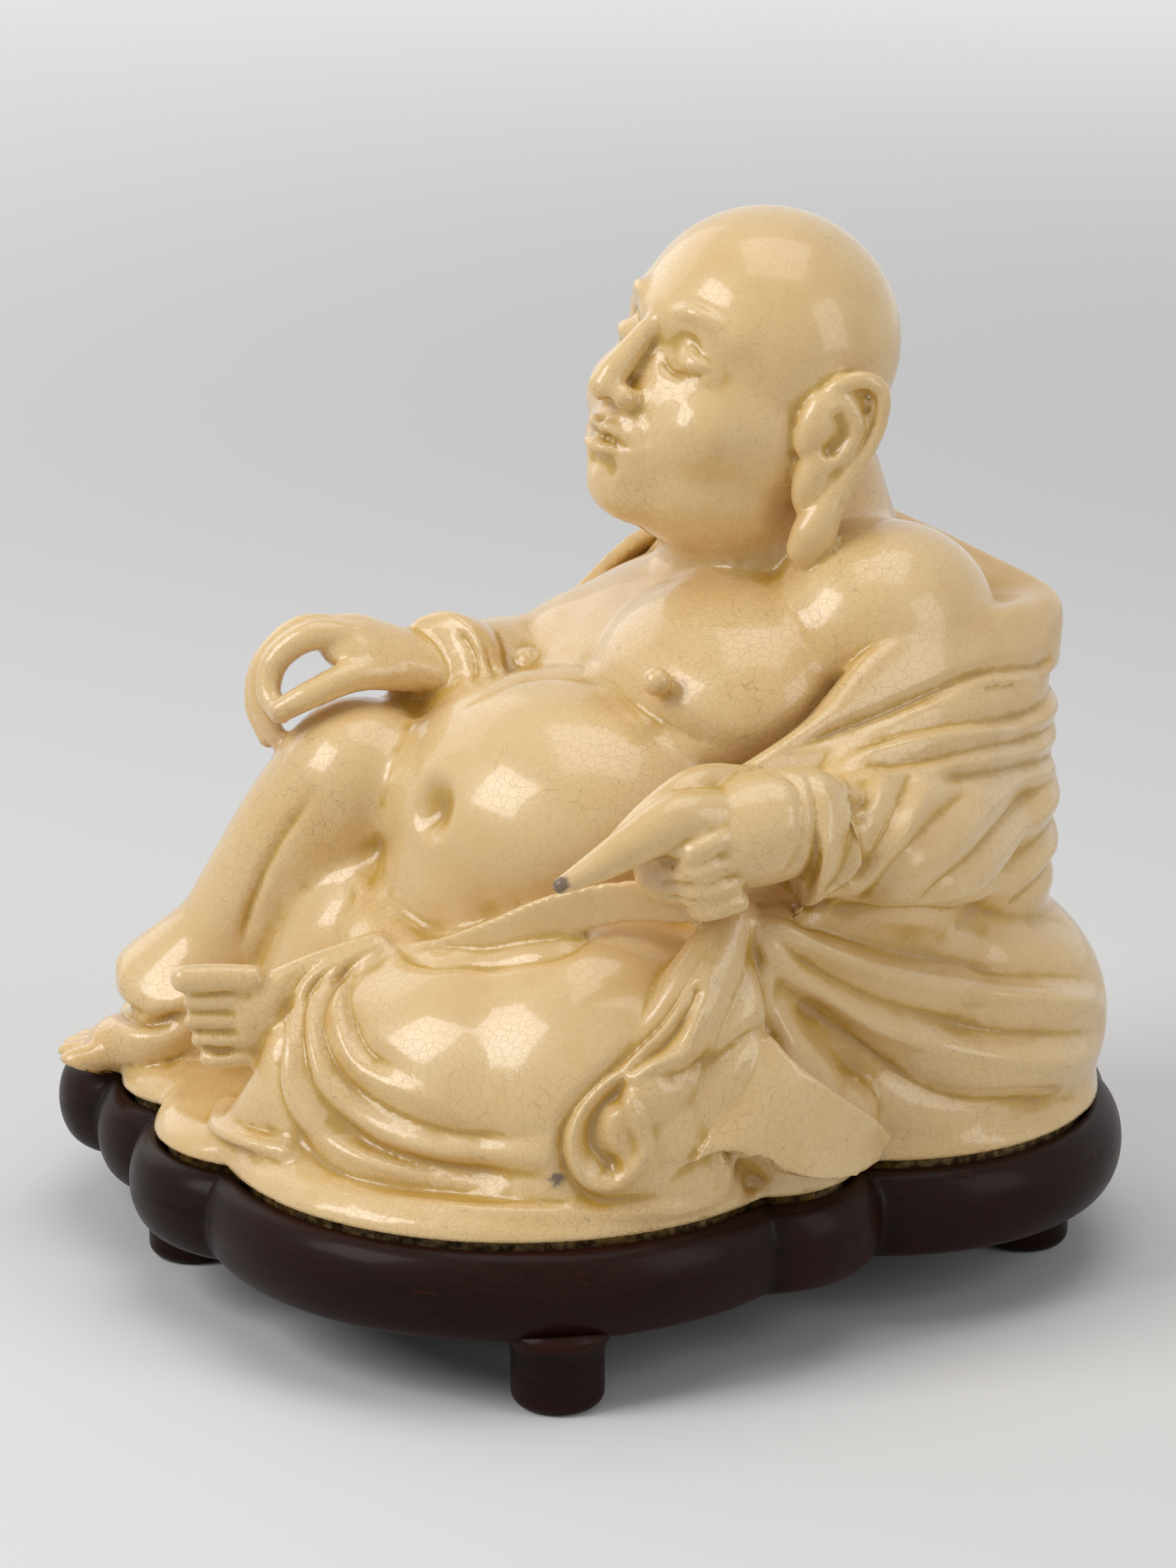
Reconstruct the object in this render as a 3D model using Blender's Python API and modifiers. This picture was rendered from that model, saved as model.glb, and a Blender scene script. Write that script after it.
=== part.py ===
# Seated budai figure in cream glazed porcelain, resting in the recess of a lobed hardwood stand.
# The script works in millimetres on a layout whose axis runs up through the belly: +X is the figure's
# left, -Y its front and +Z up. The finished objects are scaled to metres and moved so that the
# origin is the middle of the bounding box, at the table.
import math

import bmesh
import bpy
import numpy as np
from mathutils import Euler, Matrix, Vector
from mathutils.bvhtree import BVHTree

MM = 0.001

# Stand: a tray with a bulging lobed wall on four stub feet, all carved from one board
FOOT_HEIGHT = 16.0
FOOT_RADIUS = 10.0
FOOT_EDGE = 3.0
WALL_HEIGHT = 20.0
WALL_WIDTH = 7.0
RECESS_DEPTH = 9.0
WALL_CROWN = 1.2
WALL_STEPS = 8
OUTLINE_STEPS = 108
STAND_CENTRE = (-10, 5)
RIM_Z = FOOT_HEIGHT + WALL_HEIGHT
FLOOR_Z = RIM_Z - RECESS_DEPTH

# Room between the figure's foot and the recess: below it, at its side, and more beside each crease between
# two lobes, within the crease's width
SEAT_GAP = 0.3
SIDE_GAP = 1.8
CREASE_GAP = 1.5
CREASE_WIDTH = 6.0

# The hem reaches past the recess's edge, and over the rim the figure hangs out on a slope that starts a
# little above it
HEM_OVERHANG = 1.4
OVERHANG_SLOPE = 3.0
OVERHANG_START = 1.0

# Each lobe is a circle: centre x, centre y and the radius of the rim's inner edge
LOBES = {
    "front": (8, -30, 64.5),
    "left_front": (57, -5, 21),
    "left": (40, 50, 50),
    "back_left": (36, 74, 34),
    "back": (-12, 66, 38),
    "back_right": (-52, 42, 36),
    "right": (-78, 8, 31),
    "right_knee": (-96, -26, 22),
    "right_toes": (-94, -50, 13),
    "right_front": (-66, -53, 20),
    "left_toes": (-33, -62, 27.5),
    "middle": (-58, -22, 26),
}
# Feet stand under the wall on the four diagonals of the figure
FEET = {"front_left": (57, -66), "front_right": (-62, -64), "back_left": (66, 74), "back_right": (-58, 62)}

# Figure: the clay is fused twice, first the broad forms, then the details on them. Its points are laid
# out for a recess floor at LAID_FLOOR, and the finished figure is lifted to the real floor.
LAID_FLOOR = 27.0
LAID_RIM = LAID_FLOOR + RECESS_DEPTH
BASE_Z = LAID_FLOOR + SEAT_GAP
BROAD_VOXEL = 1.8
FINE_VOXEL = 1.3
FIGURE_TRIANGLES = 11400

GLAZE_COLOUR = (0.76, 0.62, 0.38)
GLAZE_ROUGHNESS = 0.18
WOOD_COLOUR = (0.045, 0.018, 0.012)
WOOD_ROUGHNESS = 0.3

# A carved line keeps END_DEPTH of its depth at the ends and is full after 1/TAPER of its length
TAPER = 6.0
END_DEPTH = 0.25

FACE_LINES = [
    ("groove", 2.6, 1.5, [(6, -27, -0.6), (9, -27, -2.4), (12.5, -26, -3), (16, -24, -2), (19.5, -21, 0.6)]),
    ("groove", 2.6, 1.1, [(6.5, -27, 2), (10, -27, 4.6), (13.5, -26, 4.8), (17, -24, 3.4), (20.5, -20, 0.8)]),
    ("groove", 5, 0.7, [(7, -30, -13), (10, -28, -16.5), (12, -26, -21)]),
    ("hollow", 1.5, 1.6, [(2.6, -34, -14.4), (3.6, -33, -14.4)]),
    ("hollow", 3, 2.4, [(34, -1, 1), (36, 3, -3), (34.5, 1, -8)]),
    ("groove", 2.4, 1.6, [(34, 0, 6), (36, 6, 9), (38, 11, 6), (38, 11.5, -1), (37, 9, -9)]),
]
MIDDLE_LINES = [
    ("groove", 2.6, 1.6, [(-9, -27, -21), (-4.5, -30, -21.8), (0, -31, -21.4), (4.5, -30, -21.8),
                          (9, -27, -21)]),
    ("hollow", 1.6, 0.7, [(0, -33, -15), (0, -32, -18)]),
    ("hollow", 4, 1.4, [(-4, -29, -27.6), (0, -30, -28), (4, -29, -27.6)]),
]

HEAD_CENTRE = (9, 42, 198)
HEAD_TURN = (-20, 5, -14)
BELLY_CENTRE = (2, -9, 104)
BELLY_RADII = (44, 37, 33)


# Carved lines: kind, half width, depth and points beside the surface
SACK_FOLDS = [
    ("groove", 7, 2.0, [(83, -17, 105), (80, 5, 95), (77, 17, 89), (76, 37, 82), (81, 60, 76), (80, 74, 72)]),
    ("groove", 7, 2.0, [(80, -18, 103), (74, -3, 92), (68, 14, 83), (75, 29, 79), (84, 46, 74),
                        (83, 78, 63)]),
    ("groove", 8, 2.8, [(74, -16, 97), (76, -8, 87), (74, 8, 76), (80, 22, 69), (89, 38, 64), (88, 70, 57)]),
    ("groove", 8, 2.8, [(76, -18, 85), (83, -10, 74), (80, 6, 62), (82, 20, 55), (89, 38, 48), (86, 68, 42)]),
    ("groove", 5, 2.2, [(80, -18, 106), (86, -8, 106), (87, 10, 99), (84, 35, 90), (78, 52, 85),
                        (72, 74, 80)]),
]
ROBE_FOLDS = [
    ("groove", 6, 2.2, [(75, 68, 139), (76, 52, 140), (75, 38, 139), (72, 22, 137), (69, 11, 134)]),
    ("groove", 6, 2.0, [(72, 72, 131), (75, 55, 132), (72, 40, 132), (73, 22, 134), (69, 8, 132)]),
    ("groove", 6, 2.4, [(74, 66, 127), (77, 58, 122), (75, 45, 126), (71, 30, 128), (69, 4, 130)]),
    ("groove", 6, 2.4, [(76, 64, 117), (82, 42, 120), (79, 25, 125), (73, 10, 128)]),
    ("groove", 5, 1.8, [(72, 3, 127), (81, -5, 125), (87, -10, 120), (89, -13, 113), (87, -14, 105)]),
    ("groove", 5, 1.6, [(74, 10, 128), (81, 1, 126), (85, -6, 121)]),
    ("groove", 6, 2.0, [(78, 19, 127), (85, 10, 123), (90, -1, 117), (89, -11, 107)]),
    ("groove", 7, 2.2, [(83, 40, 120), (89, 24, 117), (91, 8, 112), (90, -4, 104)]),
    ("groove", 7, 2.2, [(77, 67, 112), (84, 46, 110), (90, 26, 107), (88, 10, 100)]),
    ("groove", 6, 2.0, [(76, 72, 103), (82, 52, 102), (88, 32, 105)]),
    ("groove", 6, 2.0, [(74, 75, 94), (80, 52, 94), (88, 27, 98)]),
]
LEG_FOLDS = [
    ("groove", 5, 2.0, [(-4, -63, 86), (-12, -71, 81), (-14, -76, 75), (-11, -82, 68), (-9, -86, 60),
                        (-4, -87, 52),
                        (4, -87, 47), (19, -85, 44), (39, -75, 44)]),
    ("groove", 5, 2.2, [(-3, -62, 86), (-9, -69, 81), (-10, -76, 76), (-2, -83, 68), (3, -85, 61),
                        (11, -82, 54),
                        (22, -80, 50), (38, -73, 49), (57, -66, 51)]),
    ("groove", 5, 2.2, [(-2, -61, 86), (-6, -66, 82), (-5, -73, 77), (0, -80, 72), (8, -82, 65),
                        (16, -81, 61),
                        (28, -78, 58), (38, -73, 57), (57, -65, 60)]),
    ("groove", 5, 1.8, [(-5, -65, 82), (-1, -71, 78), (5, -75, 74), (13, -78, 70), (21, -78, 69)]),
    ("welt", 3.4, 1.2, [(-3, -62, 86), (-10, -70, 81), (-12, -77, 75), (-6, -83, 68), (-3, -86, 60),
                        (4, -85, 53),
                        (14, -83, 48), (38, -74, 46.5), (56, -66, 47)]),
    ("welt", 3.4, 1.2, [(-2, -61, 86), (-8, -67, 82), (-7, -75, 76), (-1, -82, 70), (5, -84, 63),
                        (14, -82, 57),
                        (25, -79, 54), (38, -73, 53), (57, -66, 55)]),
    ("welt", 3.2, 1.0, [(-2, -62, 85), (-3, -70, 79), (3, -77, 74), (10, -80, 68), (20, -79, 65),
                        (32, -75, 63)]),
    ("groove", 4, 1.4, [(-1, -58, 86), (4, -59, 84), (14, -61, 86), (22, -58, 87), (30, -55, 88),
                        (41, -49, 92),
                        (43, -38, 95)]),
    ("groove", 3.4, 1.5, [(-38, -47, 110), (-44, -50, 101), (-49, -52, 91), (-53, -54, 80), (-54, -56, 72)]),
    ("groove", 1.8, 0.8, [(-31, -92, 76), (-27, -88, 76), (-22, -85, 76)]),
    ("groove", 1.8, 0.8, [(-31, -93, 71.6), (-27, -89, 71.6), (-22, -85, 71.6)]),
    ("groove", 1.8, 0.8, [(-30, -91, 67.4), (-26, -88, 67.4), (-22, -85, 67.4)]),
    ("groove", 2.2, 1.5, [(-29, -91, 63.2), (-25, -88, 63.2), (-22, -85, 63.2)]),
]
PANEL_FOLDS = [
    ("groove", 4, 2.4, [(68, -34, 92), (69, -42, 85), (66, -48, 79), (62, -56, 72), (59, -62, 64),
                        (57, -64, 59),
                        (57, -66, 54), (58, -65, 49), (61, -62, 45), (65, -58, 44), (68, -53, 44)]),
    ("welt", 3.4, 1.8, [(70, -35, 92), (70, -42, 85), (67, -47, 79), (63, -55, 72), (60, -61, 65),
                        (59, -64, 60),
                        (58, -64, 56), (59, -64, 51), (61, -62, 48), (64, -59, 47), (67, -55, 48), (71, -51,
                                                                                                    52),
                        (73, -46, 55)]),
    ("groove", 4, 1.8, [(69, -29, 97), (71, -36, 91), (72, -41, 84), (72, -45, 79)]),
    ("hollow", 4.6, 3.2, [(71, -47, 77), (69, -51, 73), (67, -55, 68), (65, -57, 64), (64.5, -59, 60)]),
    ("hollow", 3.6, 2.6, [(64.5, -58, 60), (65, -59, 55), (67, -56, 53)]),
    ("groove", 5, 2.2, [(78, -16, 68), (76, -24, 63), (77, -33, 60), (76, -38, 57), (74, -43, 52),
                        (72, -48, 48)]),
    ("groove", 5, 1.8, [(75, -23, 79), (76, -31, 75), (73, -38, 73), (71, -45, 73)]),
    ("groove", 5, 2.2, [(70, -21, 100), (72, -19, 91), (74, -21, 83), (75, -22, 78), (76, -19, 72)]),
    ("welt", 4, 1.4, [(77, -22, 76), (76, -20, 73), (78, -16, 68), (80, -10, 62), (80, -1, 56),
                      (77, 12, 47)]),
    ("welt", 3, 1.8, [(73, -35, 51), (75, -34, 55), (76, -31, 54.5), (76, -25, 50), (78, -19, 46),
                      (78, -10, 43)]),
    ("hollow", 4, 3.0, [(76, -28, 48), (74, -25, 44), (73, -22, 40)]),
]
BODY_LINES = [
    ("groove", 7, 1.6, [(-12, -26, 131), (-6, -12, 136), (8, -5, 137), (24, -8, 134), (37, -6, 130),
                        (46, -1, 126)]),
    ("hollow", 7, 3.6, [(-4, -42, 117), (-4, -43, 113), (-4, -43, 109)]),
    ("groove", 3, 1.4, [(-31, -10, 141), (-26, -10, 137), (-22, -13, 130)]),
    ("groove", 3, 1.4, [(-28, -7, 142), (-22, -8, 136), (-18, -11, 130)]),
    ("groove", 3, 1.4, [(-31, 1, 140), (-22, -2, 135), (-16, -7, 130)]),
    ("groove", 2.2, 1.2, [(62, -45, 115), (66, -41, 116), (69, -40, 118)]),
    ("groove", 2.2, 1.2, [(63, -44, 111), (67, -41, 111.5), (71, -39, 112.5)]),
    ("groove", 2.2, 1.2, [(65, -42, 107), (68, -40, 107.5), (72, -38, 108.5)]),
    ("groove", 3, 1.2, [(71, -17, 130), (77, -16, 129), (82, -19, 124), (84, -21, 116), (80, -21, 107)]),
]


def spline(points, per_span=8):
    """Catmull-Rom through the points; works on any number of columns."""
    p = np.array(points, float)
    if len(p) == 2:
        t = np.linspace(0, 1, per_span * 2)[:, None]
        return p[0] * (1 - t) + p[1] * t
    p = np.vstack([2 * p[0] - p[1], p, 2 * p[-1] - p[-2]])
    out = []
    for i in range(1, len(p) - 2):
        a, b, c, d = p[i - 1 : i + 3]
        for t in np.arange(per_span) / per_span:
            curve = 2 * b + (c - a) * t + (2 * a - 5 * b + 4 * c - d) * t**2 + (3 * b - a - 3 * c + d) * t**3
            out.append(0.5 * curve)
    out.append(p[-2])
    return np.array(out)


def placed(centre, turn=(0, 0, 0), size=(1, 1, 1)):
    rotation = Euler([math.radians(a) for a in turn]).to_matrix().to_4x4()
    return Matrix.Translation(centre) @ rotation @ Matrix.Diagonal((*size, 1))


def ball(clay, centre, radii, turn=(0, 0, 0), detail=4):
    size = radii if isinstance(radii, tuple) else (radii, radii, radii)
    bmesh.ops.create_icosphere(clay, subdivisions=detail, radius=1, matrix=placed(centre, turn, size))


def tube(clay, points, radii, flat=1.0, up=(0, 0, 1), sides=20):
    """A limb or roll: rings along a smooth path with round ends; radii has one value per point."""
    path = spline([(*p, r) for p, r in zip(points, radii)])
    line = [Vector(q[:3]) for q in path]
    size = [float(q[3]) for q in path]
    last = len(line) - 1
    along = [(line[min(i + 1, last)] - line[max(i - 1, 0)]).normalized() for i in range(last + 1)]
    stations = []
    for angle in (80, 60, 40, 20):
        a = math.radians(angle)
        stations.append((line[0] - along[0] * size[0] * math.sin(a), along[0], size[0] * math.cos(a)))
    stations += list(zip(line, along, size))
    for angle in (20, 40, 60, 80):
        a = math.radians(angle)
        stations.append((line[-1] + along[-1] * size[-1] * math.sin(a), along[-1], size[-1] * math.cos(a)))
    limb = bmesh.new()
    rings = []
    for i, (centre, ahead, radius) in enumerate(stations):
        side = ahead.cross(Vector(up)).normalized()
        over = side.cross(ahead).normalized()
        turn = Matrix((side, over, ahead)).transposed().to_4x4()
        matrix = Matrix.Translation(centre) @ turn @ Matrix.Diagonal((radius, radius * flat, 1, 1))
        caps = i in (0, len(stations) - 1)
        ring = bmesh.ops.create_circle(limb, cap_ends=caps, segments=sides, radius=1, matrix=matrix)["verts"]
        rings.append(ring)
    skinned(limb, rings)
    added(clay, limb)


def skinned(body, rings):
    """Faces between rings of equally many points."""
    for a, b in zip(rings, rings[1:]):
        for i in range(len(a)):
            j = (i + 1) % len(a)
            body.faces.new((a[i], a[j], b[j], b[i]))


def added(clay, piece):
    mesh = bpy.data.meshes.new("piece")
    piece.to_mesh(mesh)
    piece.free()
    clay.from_mesh(mesh)
    bpy.data.meshes.remove(mesh)


def sheet(clay, rows, thickness):
    """A panel of cloth through rows of points, with its thickness."""
    across = [spline(r, 6) for r in rows]
    grid = spline(np.array([a.ravel() for a in across]), 6).reshape(-1, len(across[0]), 3)
    cloth = bmesh.new()
    verts = [[cloth.verts.new(p) for p in row] for row in grid]
    for i in range(len(grid) - 1):
        for j in range(len(grid[0]) - 1):
            cloth.faces.new((verts[i][j], verts[i + 1][j], verts[i + 1][j + 1], verts[i][j + 1]))
    cloth.normal_update()
    bmesh.ops.solidify(cloth, geom=cloth.faces[:], thickness=thickness)
    added(clay, cloth)


def torso(clay):
    ball(clay, (4, 30, 119), (49, 46, 33), (35, 0, 0))
    ball(clay, (24, 15, 137), (29, 26, 16), (32, 8, 0))
    ball(clay, (-20, 20, 129), (26, 24, 15), (32, -12, 0))
    ball(clay, (43, 48, 145), (25, 27, 24))
    ball(clay, (-30, 60, 122), (21, 23, 21))
    ball(clay, (8, 58, 132), (44, 30, 32), (0, 12, 0))
    tube(clay, [(8, 54, 148), (9, 48, 176)], [29, 24])
    ball(clay, BELLY_CENTRE, BELLY_RADII)
    ball(clay, (-3, -24, 93), (28, 23, 25))
    ball(clay, (0, 20, 70), (60, 62, 42))
    ball(clay, (0, 60, 84), (56, 34, 62))


def right_leg(clay):
    tube(clay, [(-20, 10, 80), (-35, -14, 97), (-43, -28, 108)], [26, 22, 18])
    tube(clay, [(-43, -29, 108), (-54, -36, 91), (-62, -41.5, 79), (-68, -46, 68)], [19, 17.7, 15, 13.5])
    skirt = placed((-71.8, -48.2, 62.8), (-19.7, 32.5, 0))
    bmesh.ops.create_cone(clay, cap_ends=True, segments=48, radius1=18.5, radius2=12, depth=27, matrix=skirt)
    tube(clay, [(-30, -16, 84), (-36, -34, 74), (-44, -44, 56)], [22, 22, 22])
    ball(clay, (-46, -10, 62), (34, 36, 34))


def left_leg(clay):
    ball(clay, (32, -30, 55), (45, 43, 42), (0, 0, -20))
    tube(clay, [(32, -37, 56), (13, -51, 56), (-3, -62, 56)], [35, 33, 26])
    ball(clay, (6, -54, 38), (34, 36, 26))
    tube(clay, [(56, -8, 92), (60, -14, 74), (62, -10, 54)], [12, 17, 20])
    tube(clay, [(-4, -68, 60), (-14, -78, 52), (-24, -82, 45)], [13, 10, 5])


def sack(clay):
    ball(clay, (44, 50, 55), (48, 53, 37))
    tube(clay, [(70, -14, 94), (67, 6, 82), (60, 26, 70)], [8, 17, 27])


def left_robe(clay):
    ball(clay, (50, 56, 123), (27, 33, 24))
    tube(clay, [(52, 54, 119), (63, 36, 119), (68, 16, 117)], [28, 21, 16])
    tube(clay, [(48, 54, 88), (50, 57, 100), (49, 58, 112)], [31, 30, 29])
    tube(clay, [(54, 50, 106), (69, 26, 107), (76, 9, 112), (76.5, 5, 113)], [27, 22, 16.5, 14.5])


def right_sleeve(clay):
    tube(clay, [(-32, 58, 114), (-38, 34, 115), (-36, 12, 124), (-35, 2, 127)], [20, 18, 15, 13.5])
    cuff = placed((-35.3, -8, 129.6), (71.5, 0, 8.1))
    bmesh.ops.create_cone(clay, cap_ends=True, segments=48, radius1=13.5, radius2=14.5, depth=12, matrix=cuff)


def base(clay):
    """The hem spread over the stand's recess, following its lobes and hanging a little over the rim."""
    for x, y, r in LOBES.values():
        edge = r + HEM_OVERHANG
        place = Matrix.Translation((x, y, BASE_Z + 4.5))
        bmesh.ops.create_cone(clay, cap_ends=True, segments=48, radius1=edge, radius2=edge, depth=17,
                              matrix=place)
        place = Matrix.Translation((x, y, BASE_Z + 14.7))
        bmesh.ops.create_cone(clay, cap_ends=True, segments=48, radius1=edge, radius2=edge - 5, depth=3.4,
                              matrix=place)


def head_matrix():
    return placed(HEAD_CENTRE, HEAD_TURN)


def head_masses(clay):
    skull = bmesh.new()
    ball(skull, (0, 3, 9), (30.5, 29.5, 29))
    ball(skull, (0, -2, -10), (28.5, 26.5, 26))
    ball(skull, (0, -2, -25), (26, 23.5, 16))
    ball(skull, (0, -18, -31), (12, 10, 8))
    ball(skull, (0, -17, -20), (17, 14, 14))
    tube(skull, [(-17, -17, 8), (0, -22, 8), (17, -17, 8)], [6, 7, 6], sides=16)
    for s in (-1, 1):
        ball(skull, (s * 14, -15, -13), (12, 11, 12))
    bmesh.ops.transform(skull, matrix=head_matrix(), verts=skull.verts[:])
    added(clay, skull)


def face(clay):
    parts = bmesh.new()
    tube(parts, [(0, -26, 7), (0, -29.5, 0), (0, -33, -8)], [2.4, 2.8, 3.6], sides=12)
    ball(parts, (0, -33.5, -11), (4.2, 4, 3.8), detail=3)
    for s in (-1, 1):
        brow = [(s * 4, -27, 6.5), (s * 11, -26, 9.5), (s * 18, -20.5, 8.5), (s * 22, -16, 5.5)]
        tube(parts, brow, [1.6, 2, 1.8, 1.2], sides=12)
        ball(parts, (s * 4.2, -30.6, -12), (3, 3.6, 2.8), detail=3)
        ball(parts, (s * 12, -18.2, 0), (7.8, 7.8, 6.2), detail=3)
        tube(parts, [(s * 7.5, -28.2, -20.6), (s * 3, -31, -19.4), (0, -31, -20)], [0.9, 1.6, 1.5], sides=10)
        tube(parts, [(s * 6.5, -28.2, -22.6), (s * 3, -30.2, -23.8), (0, -30.8, -24.2)], [1.1, 1.8, 2],
             sides=10)
        ear(parts, s)
    bmesh.ops.transform(parts, matrix=head_matrix(), verts=parts.verts[:])
    added(clay, parts)


def ear(clay, s):
    """Long-lobed ear: a plate, its rolled rim, the inner ridge and the hanging lobe."""
    ball(clay, (s * 31.5, 7, -1), (4, 8, 10.5), (0, 0, s * 20))
    ball(clay, (s * 32.5, 4.5, -13), (3.2, 5, 8), (0, 0, s * 20))
    rim = [(30.5, -1, 0), (32.5, 0, 6), (34.8, 5, 9.5), (36.5, 11, 8), (37, 13.5, 1), (36.5, 12, -7),
           (35.5, 8.5, -14)]
    lobe = [(35, 6, -20), (34.5, 4.5, -26), (34.5, 4, -30)]
    sizes = [1.8, 2, 2.2, 2.2, 2.1, 2.2, 2.5, 3.2, 4.2, 3.8]
    tube(clay, [(s * x, y, z) for x, y, z in rim + lobe], sizes, flat=1.3, up=(1, 0, 0), sides=16)
    ridge = [(34.5, 4.5, 4), (36, 8, 0), (36, 7.5, -6), (34.5, 4, -11)]
    tube(clay, [(s * x, y, z) for x, y, z in ridge], [1.3, 1.6, 1.6, 1.3], sides=12)
    ball(clay, (s * 33, 0.5, -5), (2, 2.2, 3.6), detail=3)


def nipples(clay):
    for x, y, z in ((29, -8, 141), (-22, 3, 133)):
        ball(clay, (x, y, z), 3.4, detail=3)


def finger(clay, points, root, tip):
    sizes = np.linspace(root, tip, len(points))
    tube(clay, points, [float(r) for r in sizes], sides=12)


def right_hand(clay):
    tube(clay, [(-37, -8, 131), (-42, -16, 134), (-48, -24, 137)], [8.5, 9, 10], flat=0.62, up=(0.3, 0, 1))
    finger(clay, [(-46, -26, 139), (-51, -35, 141), (-56, -41, 136), (-56, -44, 129), (-51, -45, 125)], 4,
           2.6)
    finger(clay, [(-51, -23, 139), (-58, -32, 140), (-63, -38, 133), (-63, -40, 124), (-58, -40, 117)], 4,
           2.5)
    finger(clay, [(-54, -20, 138), (-63, -27, 138), (-69, -33, 131), (-69, -36, 122), (-64, -37, 115)], 3.9,
           2.5)
    finger(clay, [(-57, -16, 136), (-67, -22, 135), (-73, -28, 129), (-73, -31, 121), (-68, -33, 114)], 3.6,
           2.3)
    finger(clay, [(-38, -16, 131), (-41, -30, 133), (-45, -40, 130), (-50, -46, 126)], 4.4, 2.8)


def left_hand(clay):
    """Fist on the cloth, its back to the left, the fingers curled in below the knuckles, and the sleeve's cuff."""
    cuff = placed((75.6, -5.5, 115.5), (90, 0, -28))
    bmesh.ops.create_cone(clay, cap_ends=True, segments=48, radius1=15, radius2=13, depth=12, matrix=cuff)
    fist = bmesh.new()
    tube(fist, [(17, 0, 3), (8, 0, 2), (0, 0.5, -0.5), (-6, 2, -4.5)], [11.5, 12.3, 11.2, 8.5])
    knuckles = [(-3.5, 3.2), (-2.5, -2.3), (-1.2, -7.2), (0.5, -11)]
    tips = [(-13, -0.8), (-13, -4.9), (-11.6, -9), (-9, -12.8)]
    for (x, z), (left, low) in zip(knuckles, tips):
        middle = ((x + left) / 2 - 1, -9.2, (z + low) / 2)
        tube(fist, [(x, -8.6, z), middle, (left + 1.2, -6.4, low), (left + 1.6, 0, low)],
             [2.3, 2.4, 2.3, 2.1], sides=14)
    bmesh.ops.transform(fist, matrix=placed((66.3, -25.7, 117.6), (0, 0, 62)), verts=fist.verts[:])
    added(clay, fist)


def held_cloth(clay):
    """The end of the robe pulled up through the fist, and the fold behind it."""
    tube(clay, [(68, -27, 123), (64, -37, 124), (60, -46, 120), (57, -55, 116), (54, -62, 113)],
         [6, 6, 4.8, 3.4, 1.9])
    tube(clay, [(62, -14, 126), (60, -27, 128), (57, -38, 124), (54, -46, 118)], [4.5, 4.8, 3.6, 2.6])
    ball(clay, (60, -34, 112), (9, 9, 8))


def collar(clay):
    rim = [(18, 75, 164), (38, 84, 156), (60, 87, 149), (67, 66, 150), (64, 44, 153), (62, 24, 146)]
    rim += [(62, 8, 136), (60, -10, 130), (58, -20, 127)]
    low = [(18, 80, 152), (38, 90, 143), (62, 86, 134), (73, 64, 136), (73, 44, 138), (71, 24, 132)]
    low += [(69, 8, 124), (64, -9, 120), (61, -18, 117)]
    inner = [(18, 62, 158), (34, 68, 154), (50, 74, 150), (56, 60, 150), (56, 44, 151), (55, 26, 144)]
    inner += [(55, 10, 134), (54, -6, 128), (53, -15, 125)]
    sheet(clay, [inner, rim, low], 3.5)
    top = [(14, 76, 165), (-12, 72, 160), (-30, 52, 152), (-36, 36, 140), (-40, 22, 130)]
    foot = [(14, 82, 154), (-16, 80, 148), (-38, 58, 142), (-44, 40, 130), (-46, 22, 122)]
    sheet(clay, [top, foot], 3.5)


def waist(clay):
    """The robe's edge standing a little off the belly."""
    top = [(-27, -43, 92), (-18, -49, 88), (-6, -54, 86), (8, -54, 89), (22, -51, 96), (34, -46, 103),
           (46, -38, 107)]
    top += [(55, -30, 107), (63, -22, 106)]
    low = [(-22, -42, 82), (-14, -48, 80), (-4, -53, 79), (10, -53, 82), (24, -50, 88), (36, -44, 94),
           (48, -36, 98)]
    low += [(57, -28, 98), (64, -20, 97)]
    sheet(clay, [top, low], 2.2)


def left_foot(clay):
    tube(clay, [(-4, -58, 74), (-14, -70, 71.5), (-23, -80, 69.5)], [8, 6.5, 4.6], flat=1.85)
    for z, shift, size in ((78.4, 0, 2.8), (73.7, 0, 2.1), (69.5, 0, 2.1), (65.3, 1, 2.1), (61.2, 2.2, 2)):
        middle = (-27 + shift * 0.5, -86.5, z)
        tube(clay, [(-21.5, -80.5, z), middle, (-30.6 + shift, -90.2 + shift, z)],
             [size, size * 1.05, size], sides=14)


def right_foot(clay):
    tube(clay, [(-66, -47, 64), (-72, -54, 55), (-77, -62, 48), (-86, -66, 44.5)], [9, 9.5, 9.5, 7.5],
         flat=0.8)
    toes = [(-91, -76, 3.1), (-96, -72.5, 2.5), (-98.5, -68.5, 2.4), (-99.5, -64, 2.3), (-99, -59.5, 2.2)]
    for k, (x, y, size) in enumerate(toes):
        tube(clay, [(-83 - k * 0.8, -70 + k * 3, 43.5), (x, y, 41.2)], [size, size], sides=14)


def hems(clay):
    """The apron's lip that folds over the hem below the left foot."""
    tube(clay, [(-34, -77, 46), (-27, -85, 45.6), (-19, -88.5, 46), (-10, -88, 46), (-4, -86, 46)],
         [3, 3.4, 3, 3.2, 4.2], flat=0.62)


def curl(clay):
    """The strip of cloth below the fist that widens into a curled end lying on the hem."""
    tube(clay, [(65, -20, 99), (65, -31, 87), (65, -39, 77), (62, -46, 67), (58, -50, 57), (56, -49, 50)],
         [5, 8, 9, 11, 11, 10])
    tube(clay, [(66, -16, 92), (68, -26, 78), (68, -33, 66), (66, -37, 56)], [6, 9, 10, 10])
    ball(clay, (62, 0, 50), (19, 19, 17))


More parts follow.
